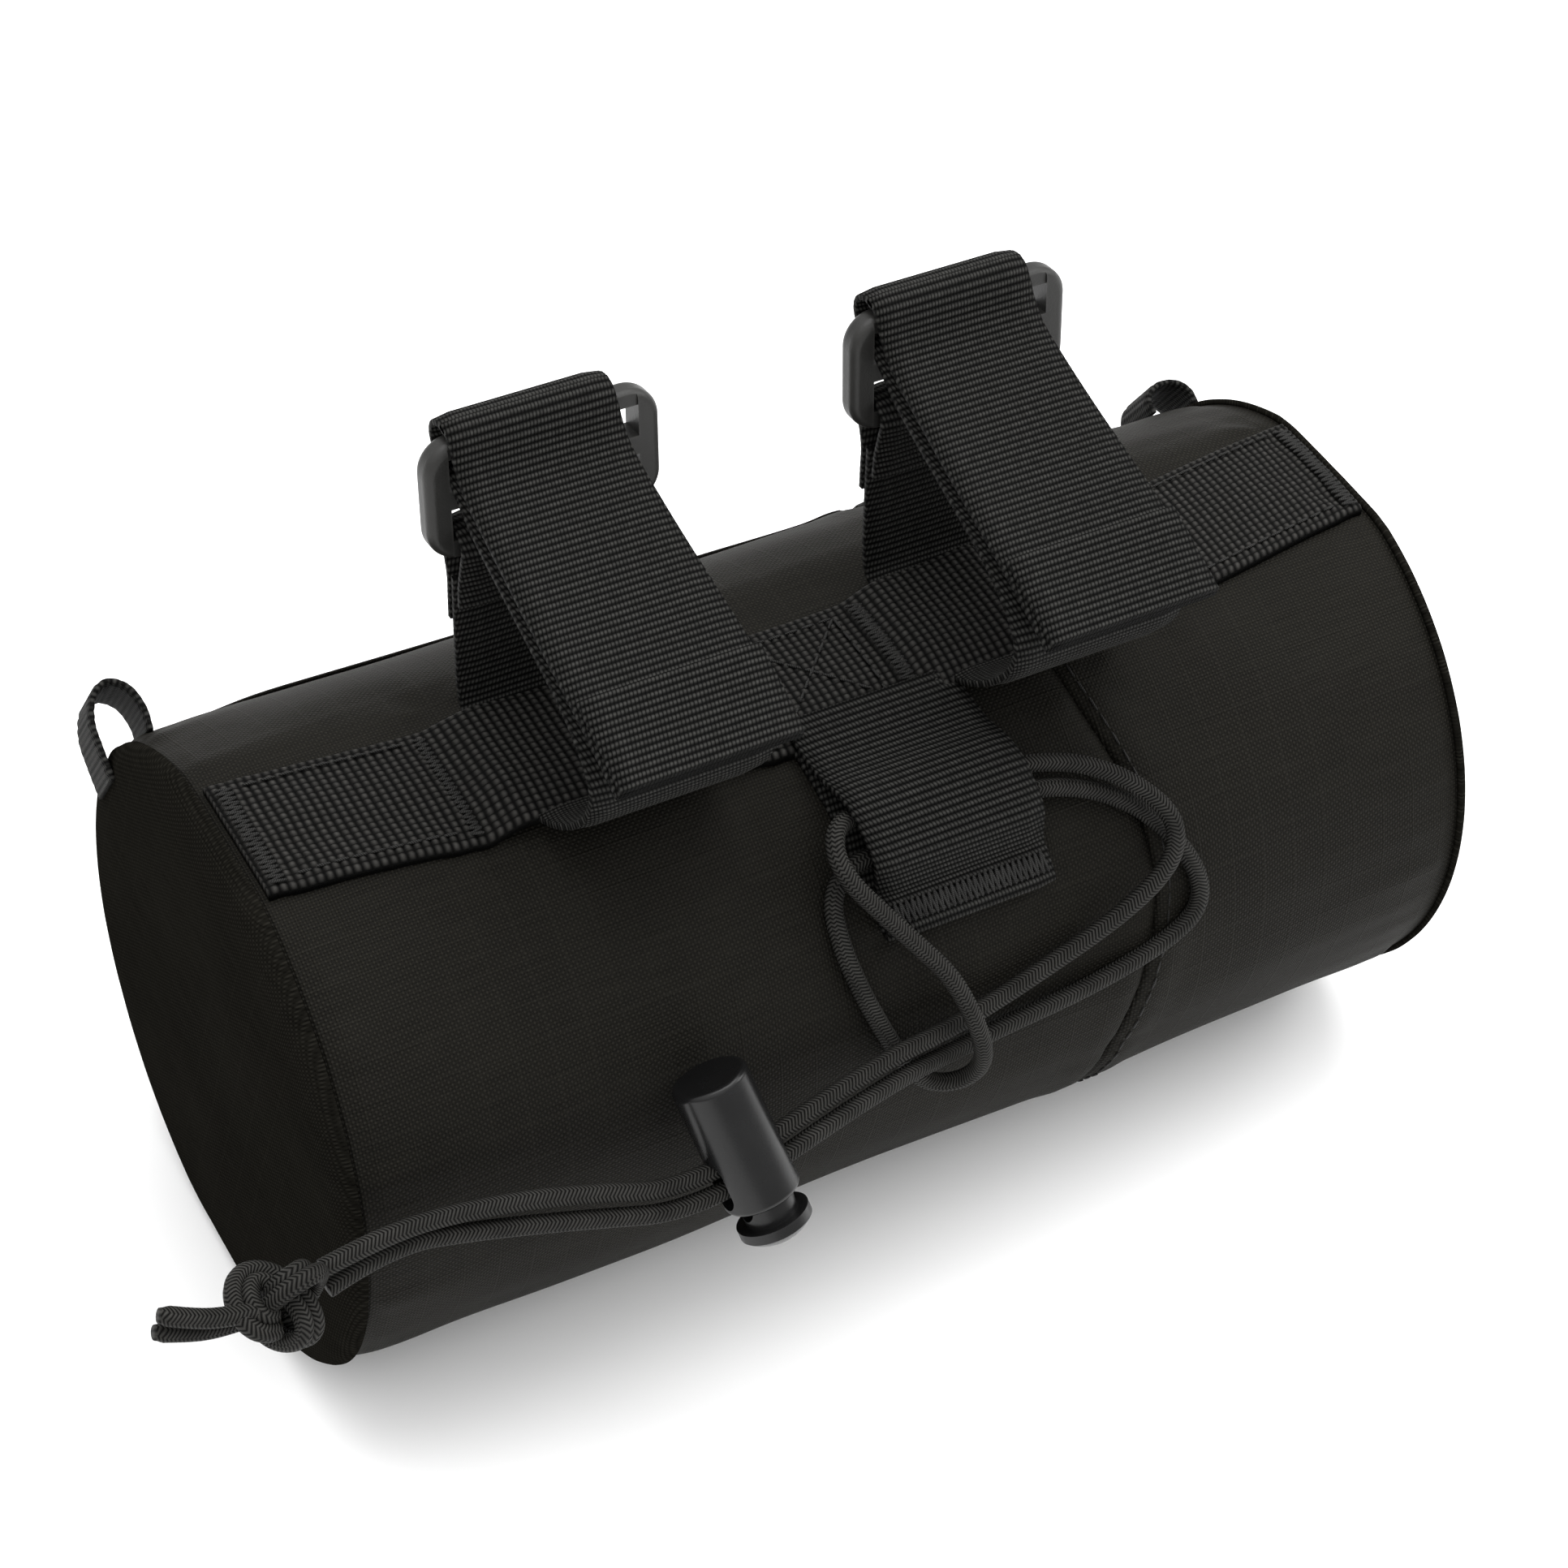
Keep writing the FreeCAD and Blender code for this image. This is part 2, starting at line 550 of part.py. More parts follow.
lower_tape = zip_tape()
upper_tape = lower_tape.mirror(Vector(0, 0, 0), Vector(0, 1, 0))
lower_teeth = zip_teeth()
upper_teeth = lower_teeth.mirror(Vector(0, 0, 0), Vector(0, 1, 0))
save(onto_zip(lower_tape), "zip_tape_lower")
save(onto_zip(upper_tape), "zip_tape_upper")
save(onto_zip(lower_teeth), "zip_teeth_lower")
save(onto_zip(upper_teeth), "zip_teeth_upper")
save(zip_stops(), "zip_stops")
save(zip_slider(), "zip_slider")
save(zip_pull(), "zip_pull")

right_loop = end_loop()
save(right_loop, "end_loop_right")
save(mirrored(right_loop), "end_loop_left")
save(base_webbing(), "base_webbing")
save(base_bartacks(), "base_bartacks")
for side in STRAP_X:
    save(strap(side), "strap_" + side)
    save(strap_tail(side), "strap_tail_" + side)
    save(loop_patch(side), "loop_patch_" + side)
    save(hook_patch(side), "hook_patch_" + side)
    save(triglide(side), "triglide_" + side)

save(cord_tab(), "cord_tab")
save(tab_bartack(), "tab_bartack")
save(shock_cord(), "shock_cord")
save(cord_knot(), "cord_knot")
save(lock_barrel(), "lock_barrel")
save(lock_plunger(), "lock_plunger")
save(lock_spring(), "lock_spring")
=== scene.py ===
"""A small black handlebar bag: fabric, webbing, zip, straps, elastic cord and cord lock.

Lengths in this script are in millimetres in the row's frame, and become metres in build_mesh().
The camera and the cord's route are in metres.
"""
import math
import random

import bpy
from mathutils import Matrix, Vector, noise


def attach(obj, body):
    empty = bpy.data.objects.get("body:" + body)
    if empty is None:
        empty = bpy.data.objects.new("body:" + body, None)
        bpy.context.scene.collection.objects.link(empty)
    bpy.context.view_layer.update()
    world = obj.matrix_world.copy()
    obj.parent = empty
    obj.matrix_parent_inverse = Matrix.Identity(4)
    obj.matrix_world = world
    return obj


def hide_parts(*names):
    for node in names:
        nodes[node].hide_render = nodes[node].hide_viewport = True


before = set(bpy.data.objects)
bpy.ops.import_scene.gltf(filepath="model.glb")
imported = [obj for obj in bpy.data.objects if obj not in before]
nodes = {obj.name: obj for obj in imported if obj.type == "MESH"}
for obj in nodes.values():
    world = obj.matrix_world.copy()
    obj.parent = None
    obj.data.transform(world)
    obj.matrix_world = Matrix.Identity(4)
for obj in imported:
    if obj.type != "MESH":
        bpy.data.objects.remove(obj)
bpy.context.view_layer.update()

MM = 0.001

# The bag's body, as in the CAD
BODY_R = 42.5
FLAT = 41.0
AXIS_Z = 41.0
HALF_L = 83.0
END_BULGE = 1.9
ZIP_ANGLE = -73.0
LOOP_ANGLE = -58.0
FLAP_ANGLE = -59.0
FLAP_HALF_L = 74
MOUTH_HALF_L = 68.0
MOUTH_HALF_ANGLE = 5.4

MID_SEAM_X = 29.4

PANEL_T = 0.9
PANEL_STEP = 0.8
PANEL_COLUMNS = 300
MOUTH_COLUMNS = 4

STRAP_W = 25.0
STRAP_T = 1.5
STRAP_X = {"left": -35.0, "right": 24.5}
STRAP_STEP = 0.15
RIB_PITCH = 0.9

BASE_W = 20.0
BASE_T = 1.45
BASE_GAP = 0.12
BASE_RIB = 1.15
BASE_BEAD = 1.0

# Weave of the ripstop fabric: thread pitch, pitch of the thicker threads and their width
WEAVE_PITCH = 0.42
GRID_PITCH = 5.0
GRID_WIDTH = 0.22


# ------------------------------------------------------------------ camera

def make_camera():
    azimuth, elevation, roll = (math.radians(v) for v in (-33.45, 44.95, 5.87))
    back = Vector((math.sin(azimuth) * math.cos(elevation),
                   -math.cos(azimuth) * math.cos(elevation), math.sin(elevation)))
    right = Vector((math.cos(azimuth), math.sin(azimuth), 0))
    up = back.cross(right)
    tilted_right = right * math.cos(roll) + up * math.sin(roll)
    tilted_up = up * math.cos(roll) - right * math.sin(roll)
    data = bpy.data.cameras.new("camera")
    data.lens = 88.74
    data.sensor_width = 36
    data.clip_start = 0.01
    camera = bpy.data.objects.new("camera", data)
    axes = Matrix((tilted_right, tilted_up, back)).transposed()
    camera.matrix_world = Matrix.Translation((-0.2057, -0.3087, 0.4253)) @ axes.to_4x4()
    bpy.context.collection.objects.link(camera)
    bpy.context.scene.camera = camera


make_camera()


# ------------------------------------------------------------------ mesh helpers

def build_mesh(name, points, faces, uvs):
    """A mesh object from points in millimetres; uvs has one pair per point, in millimetres."""
    data = bpy.data.meshes.new(name)
    data.from_pydata([tuple(c * MM for c in p) for p in points], [], faces)
    layer = data.uv_layers.new(name="flat")
    for loop in data.loops:
        layer.data[loop.index].uv = uvs[loop.vertex_index]
    data.polygons.foreach_set("use_smooth", [True] * len(data.polygons))
    data.update()
    obj = bpy.data.objects.new(name, data)
    bpy.context.collection.objects.link(obj)
    return obj


def band_faces(rows, columns):
    """Quads between consecutive rows of points, each row closed on itself."""
    faces = []
    for i in range(rows - 1):
        for j in range(columns):
            k = (j + 1) % columns
            faces.append((i * columns + j, i * columns + k, (i + 1) * columns + k, (i + 1) * columns + j))
    return faces


def smooth_path(points, step):
    """A Catmull-Rom curve through the points, cut into equal steps."""
    ends = [points[0] * 2 - points[1]] + list(points) + [points[-1] * 2 - points[-2]]
    dense = []
    for p0, p1, p2, p3 in zip(ends, ends[1:], ends[2:], ends[3:]):
        pieces = max(4, int((p2 - p1).length / 0.15))
        for i in range(pieces):
            t = i / pieces
            dense.append(0.5 * (2 * p1 + (p2 - p0) * t + (2 * p0 - 5 * p1 + 4 * p2 - p3) * t * t
                                + (3 * p1 - p0 - 3 * p2 + p3) * t ** 3))
    dense.append(Vector(points[-1]))
    return even_steps(dense, step)


def even_steps(dense, step):
    """Points a step apart along a line of closer ones."""
    lengths = [0.0]
    for a, b in zip(dense, dense[1:]):
        lengths.append(lengths[-1] + (b - a).length)
    count = max(2, round(lengths[-1] / step))
    result = []
    j = 0
    for i in range(count + 1):
        target = lengths[-1] * i / count
        while j < len(dense) - 2 and lengths[j + 1] < target:
            j += 1
        span = lengths[j + 1] - lengths[j]
        t = (target - lengths[j]) / span if span else 0.0
        result.append(dense[j].lerp(dense[j + 1], min(1.0, t)))
    return result


def tangents(path):
    """The direction of a path at each of its points."""
    result = []
    for i in range(len(path)):
        a, b = path[max(0, i - 1)], path[min(len(path) - 1, i + 1)]
        result.append((b - a).normalized())
    return result


def turning_frames(path):
    """Two cross directions per point that turn as little as they can along the path."""
    along = tangents(path)
    side = along[0].orthogonal().normalized()
    result = []
    for t in along:
        side = (side - t * side.dot(t)).normalized()
        result.append((side, t.cross(side)))
    return result


def tube(name, path, radius, segments=18):
    """A round tube along a path; radius is a number, or a function of the distance along it."""
    radius_at = radius if callable(radius) else lambda s: radius
    points, uvs = [], []
    travelled = 0.0
    for i, (centre, (side, up)) in enumerate(zip(path, turning_frames(path))):
        if i:
            travelled += (centre - path[i - 1]).length
        r = radius_at(travelled)
        for j in range(segments):
            a = 2 * math.pi * j / segments
            points.append(centre + (side * math.cos(a) + up * math.sin(a)) * r)
            uvs.append((a * r if a <= math.pi else (2 * math.pi - a) * r, travelled))
    faces = band_faces(len(path), segments)
    faces.append(tuple(range(segments))[::-1])
    faces.append(tuple(range(len(points) - segments, len(points))))
    return build_mesh(name, points, faces, uvs)


def ellipsoid(points, faces, uvs, centre, half_axes):
    """Adds one small rounded lozenge, such as a stitch, to lists of points and faces."""
    start = len(points)
    along, side, up = half_axes
    rings = ((-1.0, 0.0), (-0.8, 0.75), (0.0, 1.0), (0.8, 0.75), (1.0, 0.0))
    for t, size in rings:
        for j in range(6):
            a = math.pi * j / 3
            points.append(centre + along * t + (side * math.cos(a) + up * math.sin(a)) * size)
            uvs.append((t * along.length, j * 0.2))
    for i in range(len(rings) - 1):
        for j in range(6):
            k = (j + 1) % 6
            faces.append((start + i * 6 + j, start + i * 6 + k, start + i * 6 + 6 + k, start + i * 6 + 6 + j))


def thread_mesh(name, stitches):
    """All the stitches of one seam: each is a centre and its three half axes."""
    points, faces, uvs = [], [], []
    for centre, half_axes in stitches:
        ellipsoid(points, faces, uvs, centre, half_axes)
    return build_mesh(name, points, faces, uvs)


def bump(x, width):
    """1 where x is 0, fading to nothing over about twice the width."""
    return math.exp(-(x / width) ** 2)


def ramp(x, low, high):
    """0 up to low, 1 from high, and smooth in between."""
    t = min(1.0, max(0.0, (x - low) / (high - low)))
    return t * t * (3 - 2 * t)


# ------------------------------------------------------------------ materials

class Shader:
    """A principled material and short calls that add nodes to it."""

    def __init__(self, name, roughness, specular=0.4):
        self.material = bpy.data.materials.new(name)
        self.material.use_nodes = True
        self.tree = self.material.node_tree
        self.surface = self.tree.nodes["Principled BSDF"]
        self.surface.inputs["Roughness"].default_value = roughness
        self.surface.inputs["Specular IOR Level"].default_value = specular

    def link(self, source, target):
        if isinstance(source, (int, float)):
            target.default_value = source
        else:
            self.tree.links.new(source, target)

    def math(self, operation, a, b=0.0, c=0.0):
        node = self.tree.nodes.new("ShaderNodeMath")
        node.operation = operation
        for value, socket in zip((a, b, c), node.inputs):
            self.link(value, socket)
        return node.outputs[0]

    def flat(self):
        """The two coordinates in the cloth, in millimetres."""
        uv = self.tree.nodes.new("ShaderNodeUVMap")
        uv.uv_map = "flat"
        split = self.tree.nodes.new("ShaderNodeSeparateXYZ")
        self.tree.links.new(uv.outputs[0], split.inputs[0])
        return split.outputs[0], split.outputs[1]

    def place(self):
        """Object coordinates, in metres."""
        return self.tree.nodes.new("ShaderNodeTexCoord").outputs["Object"]

    def noise(self, scale, detail=3.0, roughness=0.55, vector=None):
        node = self.tree.nodes.new("ShaderNodeTexNoise")
        node.inputs["Scale"].default_value = scale
        node.inputs["Detail"].default_value = detail
        node.inputs["Roughness"].default_value = roughness
        self.tree.links.new(vector if vector else self.place(), node.inputs["Vector"])
        return node.outputs[0]

    def pair(self, u, v):
        node = self.tree.nodes.new("ShaderNodeCombineXYZ")
        self.link(u, node.inputs[0])
        self.link(v, node.inputs[1])
        return node.outputs[0]

    def ridge(self, coordinate, pitch):
        """0 between ridges, 1 on top of them."""
        turned = self.math("MULTIPLY", coordinate, math.pi / pitch)
        return self.math("ABSOLUTE", self.math("SINE", turned))

    def line(self, coordinate, pitch, width):
        """1 on a thin line every pitch."""
        inside = self.math("ABSOLUTE", self.math("SUBTRACT", self.math("FRACT", self.math(
            "DIVIDE", coordinate, pitch)), 0.5))
        edge = self.math("DIVIDE", self.math("SUBTRACT", inside, 0.5 - width / pitch), width / pitch)
        return self.math("MINIMUM", self.math("MAXIMUM", edge, 0.0), 1.0)

    def colour(self, amount, dark, light):
        node = self.tree.nodes.new("ShaderNodeMix")
        node.data_type = "RGBA"
        self.link(amount, node.inputs["Factor"])
        node.inputs["A"].default_value = (*dark, 1)
        node.inputs["B"].default_value = (*light, 1)
        self.tree.links.new(node.outputs["Result"], self.surface.inputs["Base Color"])

    def height(self, amount, depth):
        """Bump from a height of 0 to 1; depth is the real relief in millimetres."""
        node = self.tree.nodes.new("ShaderNodeBump")
        node.inputs["Strength"].default_value = 1.0
        node.inputs["Distance"].default_value = depth * MM
        self.link(amount, node.inputs["Height"])
        self.tree.links.new(node.outputs[0], self.surface.inputs["Normal"])


def ripstop(name, specular, dark, light):
    """Plain-woven nylon with a thicker thread every 5 mm both ways."""
    s = Shader(name, 0.6, specular)
    u, v = s.flat()
    over = s.math("MULTIPLY", s.math("SINE", s.math("MULTIPLY", u, math.pi / WEAVE_PITCH)),
                  s.math("SINE", s.math("MULTIPLY", v, math.pi / WEAVE_PITCH)))
    rounded = s.math("ADD", s.ridge(u, WEAVE_PITCH), s.ridge(v, WEAVE_PITCH))
    threads = s.math("ADD", s.math("MULTIPLY", over, 0.25), s.math("MULTIPLY", rounded, 0.25))
    grid = s.math("MAXIMUM", s.line(u, GRID_PITCH, GRID_WIDTH), s.line(v, GRID_PITCH, GRID_WIDTH))
    uneven = s.noise(900.0, 2.0)
    relief = s.math("ADD", threads, s.math("MULTIPLY", grid, 0.3))
    relief = s.math("ADD", relief, s.math("MULTIPLY", uneven, 0.35))
    s.height(relief, 0.2)
    streak = s.noise(1.0, 2.0, 0.6, s.pair(s.math("MULTIPLY", u, 0.12), s.math("MULTIPLY", v, 2.6)))
    # Painted shade: the colour is lighter on the thread tops and darker in the gaps between them, and the
    # thicker grid threads are painted a little lighter as painted sheen. The streaks and the larger noise are
    # uneven tone.
    shade = s.math("ADD", s.math("MULTIPLY", threads, 1.3), s.math("MULTIPLY", streak, 0.5))
    shade = s.math("ADD", shade, s.math("MULTIPLY", s.noise(45.0, 4.0), 0.35))
    shade = s.math("ADD", shade, s.math("MULTIPLY", grid, 0.12))
    s.colour(s.math("MULTIPLY", s.math("SUBTRACT", shade, 0.25), 0.7), dark, light)
    return s.material


def ribbed_webbing(name, rib, bead, slant, dark, light):
    """Webbing: a row of slanting beads along each rib, painted lighter on top as a highlight, with painted
    shade, nearly black, in the grooves.
    """
    s = Shader(name, 0.65, 0.05)
    u, v = s.flat()
    leaning = s.math("ADD", u, s.math("MULTIPLY", v, slant))
    beads = s.math("POWER", s.ridge(leaning, bead), 0.8)
    fine = s.noise(3000.0, 2.0)
    relief = s.math("ADD", s.math("MULTIPLY", beads, 0.7), s.math("MULTIPLY", fine, 0.25))
    s.height(relief, 0.14)
    # Painted highlight on the beads' tops and painted shade in the grooves between them; the noise makes the
    # highlight patchy.
    lit_bead_tops = s.math("MULTIPLY", s.math("POWER", s.ridge(v, rib), 2.2), beads)
    patchy_highlight = s.noise(1.0, 2.0, 0.7, s.pair(s.math("MULTIPLY", u, 0.9), s.math("MULTIPLY", v, 0.7)))
    s.colour(s.math("MULTIPLY", lit_bead_tops, s.math("ADD", s.math("MULTIPLY", patchy_highlight, 1.2), 0.25)), dark, light)
    return s.material


def braid():
    """The cord's sheath: small slanting stitches that meet in a V."""
    s = Shader("braided_sheath", 0.55, 0.06)
    u, v = s.flat()
    column_width = 2.35
    within = s.math("SUBTRACT", s.math("FRACT", s.math("DIVIDE", u, column_width)), 0.5)
    slanted = s.math("ADD", v, s.math("MULTIPLY", s.math("ABSOLUTE", within), 1.3))
    stitches = s.ridge(slanted, 0.52)
    columns = s.ridge(u, column_width / 2)
    relief = s.math("ADD", s.math("MULTIPLY", stitches, 0.6), s.math("MULTIPLY", columns, 0.3))
    s.height(s.math("ADD", relief, s.math("MULTIPLY", s.noise(2500.0, 2.0), 0.15)), 0.3)
    # Painted highlight on the stitches' tops and painted shade in the grooves between them.
    shade = s.math("MULTIPLY", s.math("POWER", stitches, 1.5), s.math("ADD", s.noise(220.0, 3.0), 0.35))
    s.colour(shade, (0.0010, 0.0010, 0.0009), (0.040, 0.039, 0.036))
    return s.material


def thread():
    """Twisted sewing thread."""
    s = Shader("sewing_thread", 0.55, 0.15)
    u, v = s.flat()
    twist = s.ridge(s.math("ADD", u, s.math("MULTIPLY", v, 0.8)), 0.3)
    s.height(twist, 0.06)
    # The twist's ridges are painted lighter and its grooves darker: painted highlight and painted shade.
    s.colour(s.math("MULTIPLY", twist, s.math("ADD", s.noise(500.0), 0.3)),
             (0.002, 0.002, 0.0019), (0.028, 0.0275, 0.026))
    return s.material


def moulded_plastic(name, roughness, grain, dark, light):
    """Injection-moulded nylon: a fine grain, faint flow marks and a painted highlight along the edges."""
    s = Shader(name, roughness, 0.3)
    grain_noise = s.noise(3200.0, 2.0)
    s.height(grain_noise, grain)
    rough = s.math("ADD", s.math("MULTIPLY", s.noise(160.0, 4.0), 0.18), roughness - 0.09)
    s.link(rough, s.surface.inputs["Roughness"])
    # Painted highlight: the colour gets lighter where the bevelled normal leaves the true one, along the
    # edges. The noise adds uneven tone.
    bevel = s.tree.nodes.new("ShaderNodeBevel")
    bevel.inputs["Radius"].default_value = 0.5 * MM
    geometry = s.tree.nodes.new("ShaderNodeNewGeometry")
    edge = s.tree.nodes.new("ShaderNodeVectorMath")
    edge.operation = "DISTANCE"
    s.tree.links.new(bevel.outputs[0], edge.inputs[0])
    s.tree.links.new(geometry.outputs["Normal"], edge.inputs[1])
    amount = s.math("ADD", s.math("MULTIPLY", edge.outputs["Value"], 0.5),
                    s.math("MULTIPLY", s.noise(90.0, 3.0), 0.4))
    s.colour(amount, dark, light)
    return s.material


def enamelled_metal():
    """Black enamel on a die casting, with a little orange peel."""
    s = Shader("black_enamel", 0.35, 0.5)
    s.surface.inputs["Metallic"].default_value = 0.5
    s.height(s.noise(1500.0, 2.0), 0.03)
    s.colour(s.noise(300.0, 3.0), (0.012, 0.012, 0.013), (0.05, 0.05, 0.053))
    return s.material


def spring_wire():
    """Bare drawn steel wire."""
    s = Shader("spring_wire", 0.3, 0.5)
    s.surface.inputs["Metallic"].default_value = 1.0
    s.height(s.noise(2500.0, 2.0), 0.01)
    s.colour(s.noise(200.0, 3.0), (0.35, 0.35, 0.36), (0.55, 0.55, 0.56))
    return s.material


def pile(name, scale, depth):
    """Hook or loop tape: a dense field of tiny tufts."""
    s = Shader(name, 0.8, 0.1)
    tufts = s.tree.nodes.new("ShaderNodeTexVoronoi")
    tufts.inputs["Scale"].default_value = scale
    s.tree.links.new(s.place(), tufts.inputs["Vector"])
    lit = s.math("SUBTRACT", 1.0, tufts.outputs["Distance"])
    s.height(lit, depth)
    s.colour(s.math("MULTIPLY", lit, s.noise(700.0, 3.0)), (0.003, 0.003, 0.003), (0.03, 0.03, 0.029))
    return s.material


def plain_cloth(name, dark, light, pitch):
    """Thin woven cloth for the lining and tapes, in object coordinates."""
    s = Shader(name, 0.75, 0.1)
    split = s.tree.nodes.new("ShaderNodeSeparateXYZ")
    s.tree.links.new(s.place(), split.inputs[0])
    along = s.ridge(split.outputs[0], pitch * MM)
    around = s.ridge(s.math("ADD", split.outputs[1], s.math("MULTIPLY", split.outputs[2], 1.3)), pitch * MM)
    woven = s.math("MULTIPLY", along, around)
    s.height(woven, 0.08)
    # The threads' tops are painted lighter and the gaps between them darker: painted shade.
    s.colour(s.math("MULTIPLY", woven, s.math("ADD", s.noise(60.0), 0.4)), dark, light)
    return s.material


def foam():
    """Closed-cell foam."""
    s = Shader("closed_cell_foam", 0.9, 0.2)
    cells = s.noise(2200.0, 4.0, 0.7)
    s.height(cells, 0.12)
    s.colour(cells, (0.05, 0.05, 0.05), (0.14, 0.14, 0.14))
    return s.material


FABRIC = ripstop("ripstop_nylon", 0.05, (0.0006, 0.0005, 0.0004), (0.0210, 0.0196, 0.0158))
# A darker copy of the ripstop, without specular, for the round ends: painted shade.
SHADED_END_FABRIC = ripstop("end_nylon", 0.0, (0.0008, 0.0007, 0.0006), (0.0180, 0.0170, 0.0140))
WEBBING = ribbed_webbing("strap_webbing", RIB_PITCH, 0.52, 0.25, (0.0008, 0.0008, 0.0007),
                         (0.040, 0.0395, 0.037))
BASE_WEBBING = ribbed_webbing("base_webbing", BASE_RIB, BASE_BEAD, 0.0, (0.0008, 0.0008, 0.0007),
                              (0.040, 0.0385, 0.036))
BRAID = braid()
THREAD = thread()
BUCKLE = moulded_plastic("satin_plastic", 0.42, 0.03, (0.010, 0.0098, 0.0092), (0.050, 0.049, 0.046))
LOCK = moulded_plastic("lock_plastic", 0.26, 0.006, (0.003, 0.003, 0.0031), (0.014, 0.014, 0.0142))
METAL = enamelled_metal()
WIRE = spring_wire()
HOOKS = pile("hook_tape", 2200.0, 0.3)
LOOPS = pile("loop_tape", 1500.0, 0.35)
ZIP_CLOTH = plain_cloth("zip_cloth", (0.006, 0.006, 0.0065), (0.03, 0.03, 0.031), 0.5)
LINING = plain_cloth("lining_cloth", (0.02, 0.02, 0.021), (0.075, 0.075, 0.078), 0.4)
FOAM = foam()


def dress(obj, material, body="bag", stands_for=()):
    """Gives a new piece its material and its body, and hides the CAD nodes that it stands for."""
    obj.data.materials.clear()
    obj.data.materials.append(material)
    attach(obj, body)
    if stands_for:
        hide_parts(*stands_for)
    return obj


def repaint(node, material):
    """A better material on a CAD node that stays."""
    for slot in nodes[node].material_slots:
        slot.material = material


# ------------------------------------------------------------------ shock cord

CORD_D = 2.5

# The route of the doubled cord, in metres: knot, lock, round the right, through the tab, round the
# bight and back. It repeats the CAD route.
ROUTE = [
    (-0.0910, -0.0461, 0.0540), (-0.0820, -0.0457, 0.0556), (-0.0705, -0.0463, 0.0546),
    (-0.0575, -0.0485, 0.0528), (-0.0431, -0.0520, 0.0494), (-0.0149, -0.0469, 0.0534),
    (-0.0015, -0.0446, 0.0519), (0.0070, -0.0431, 0.0522), (0.0143, -0.0425, 0.0542),
    (0.0206, -0.0421, 0.0562), (0.0263, -0.0419, 0.0590), (0.0307, -0.0417, 0.0624),
    (0.0334, -0.0410, 0.0660), (0.0340, -0.0388, 0.0695), (0.0320, -0.0356, 0.0721),
    (0.0282, -0.0323, 0.0746), (0.0226, -0.0294, 0.0766), (0.0156, -0.0277, 0.0776),
    (0.0076, -0.0275, 0.0781), (-0.0005, -0.0270, 0.0784), (-0.0072, -0.0274, 0.0783),
    (-0.0122, -0.0286, 0.0793), (-0.0142, -0.0317, 0.0781), (-0.0134, -0.0346, 0.0752),
    (-0.0102, -0.0373, 0.0711), (-0.0059, -0.0405, 0.0658), (-0.0024, -0.0436, 0.0616),
    (-0.0005, -0.0464, 0.0570), (0.0011, -0.0483, 0.0516), (0.0016, -0.0483, 0.0468),
    (-0.0001, -0.0467, 0.0429), (-0.0036, -0.0450, 0.0423), (-0.0068, -0.0441, 0.0456),
    (-0.0104, -0.0427, 0.0528), (-0.0134, -0.0399, 0.0603), (-0.0149, -0.0364, 0.0664),
    (-0.0147, -0.0329, 0.0709), (-0.0116, -0.0313, 0.0740), (-0.0066, -0.0316, 0.0747),
    (0.0008, -0.0312, 0.0749), (0.0094, -0.0306, 0.0754), (0.0172, -0.0303, 0.0750),
    (0.0244, -0.0315, 0.0729), (0.0304, -0.0338, 0.0696), (0.0344, -0.0365, 0.0659),
    (0.0372, -0.0391, 0.0618), (0.0388, -0.0411, 0.0576), (0.0379, -0.0424, 0.0538),
    (0.0339, -0.0430, 0.0512), (0.0268, -0.0435, 0.0493), (0.0180, -0.0438, 0.0479),
    (0.0090, -0.0439, 0.0472), (0.0006, -0.0445, 0.0469), (-0.0142, -0.0486, 0.0508),
    (-0.0425, -0.0536, 0.0468), (-0.0580, -0.0499, 0.0494), (-0.0708, -0.0472, 0.0514),
    (-0.0815, -0.0452, 0.0523), (-0.0906, -0.0467, 0.0506),
]


def route_line():
    """Points along the smooth NURBS line that has the route's points as its control points."""
    data = bpy.data.curves.new("cord_line", "CURVE")
    data.dimensions = "3D"
    data.resolution_u = 12
    spline = data.splines.new("NURBS")
    spline.points.add(len(ROUTE) - 1)
    for point, place in zip(spline.points, ROUTE):
        point.co = (*place, 1.0)
    spline.order_u = 3
    spline.use_endpoint_u = True
    holder = bpy.data.objects.new("cord_line", data)
    bpy.context.collection.objects.link(holder)
    bpy.context.view_layer.update()
    mesh = bpy.data.meshes.new_from_object(holder)
    line = [v.co / MM for v in mesh.vertices]
    bpy.data.objects.remove(holder)
    bpy.data.meshes.remove(mesh)
    return even_steps(line, 0.5)


def make_cord():
    """The whole cord, from its knot, through the lock and the tab, and back to the knot."""
    line = route_line()
    cord = tube("elastic_cord", line, CORD_D / 2, segments=20)
    dress(cord, BRAID, stands_for=("shock_cord",))
    return cord, line


KNOT = Vector((-97.0, -47.6, 52.6))
KNOT_UNIT = 1.72
KNOT_TILT = 62.0
KNOT_STRAND_R = 1.2
KNOT_STEP = 0.4


def knot_line(shift):
    """One strand's way round the overhand knot, shifted sideways from the knot's own line."""
    tilt = Matrix.Rotation(math.radians(KNOT_TILT), 3, "X")
    turns, pieces = 0.97, 120
    centre = []
    for i in range(pieces + 1):
        t = 2 * math.pi * turns * i / pieces
        centre.append(Vector((KNOT_UNIT * (math.sin(t) + 2 * math.sin(2 * t)),
                              KNOT_UNIT * (math.cos(t) - 2 * math.cos(2 * t)),
                              -1.3 * KNOT_UNIT * math.sin(3 * t))))
    line = []
    for point, (side, up) in zip(centre, turning_frames(centre)):
        line.append(KNOT + tilt @ (point + up * shift))
    return even_steps(line, KNOT_STEP)


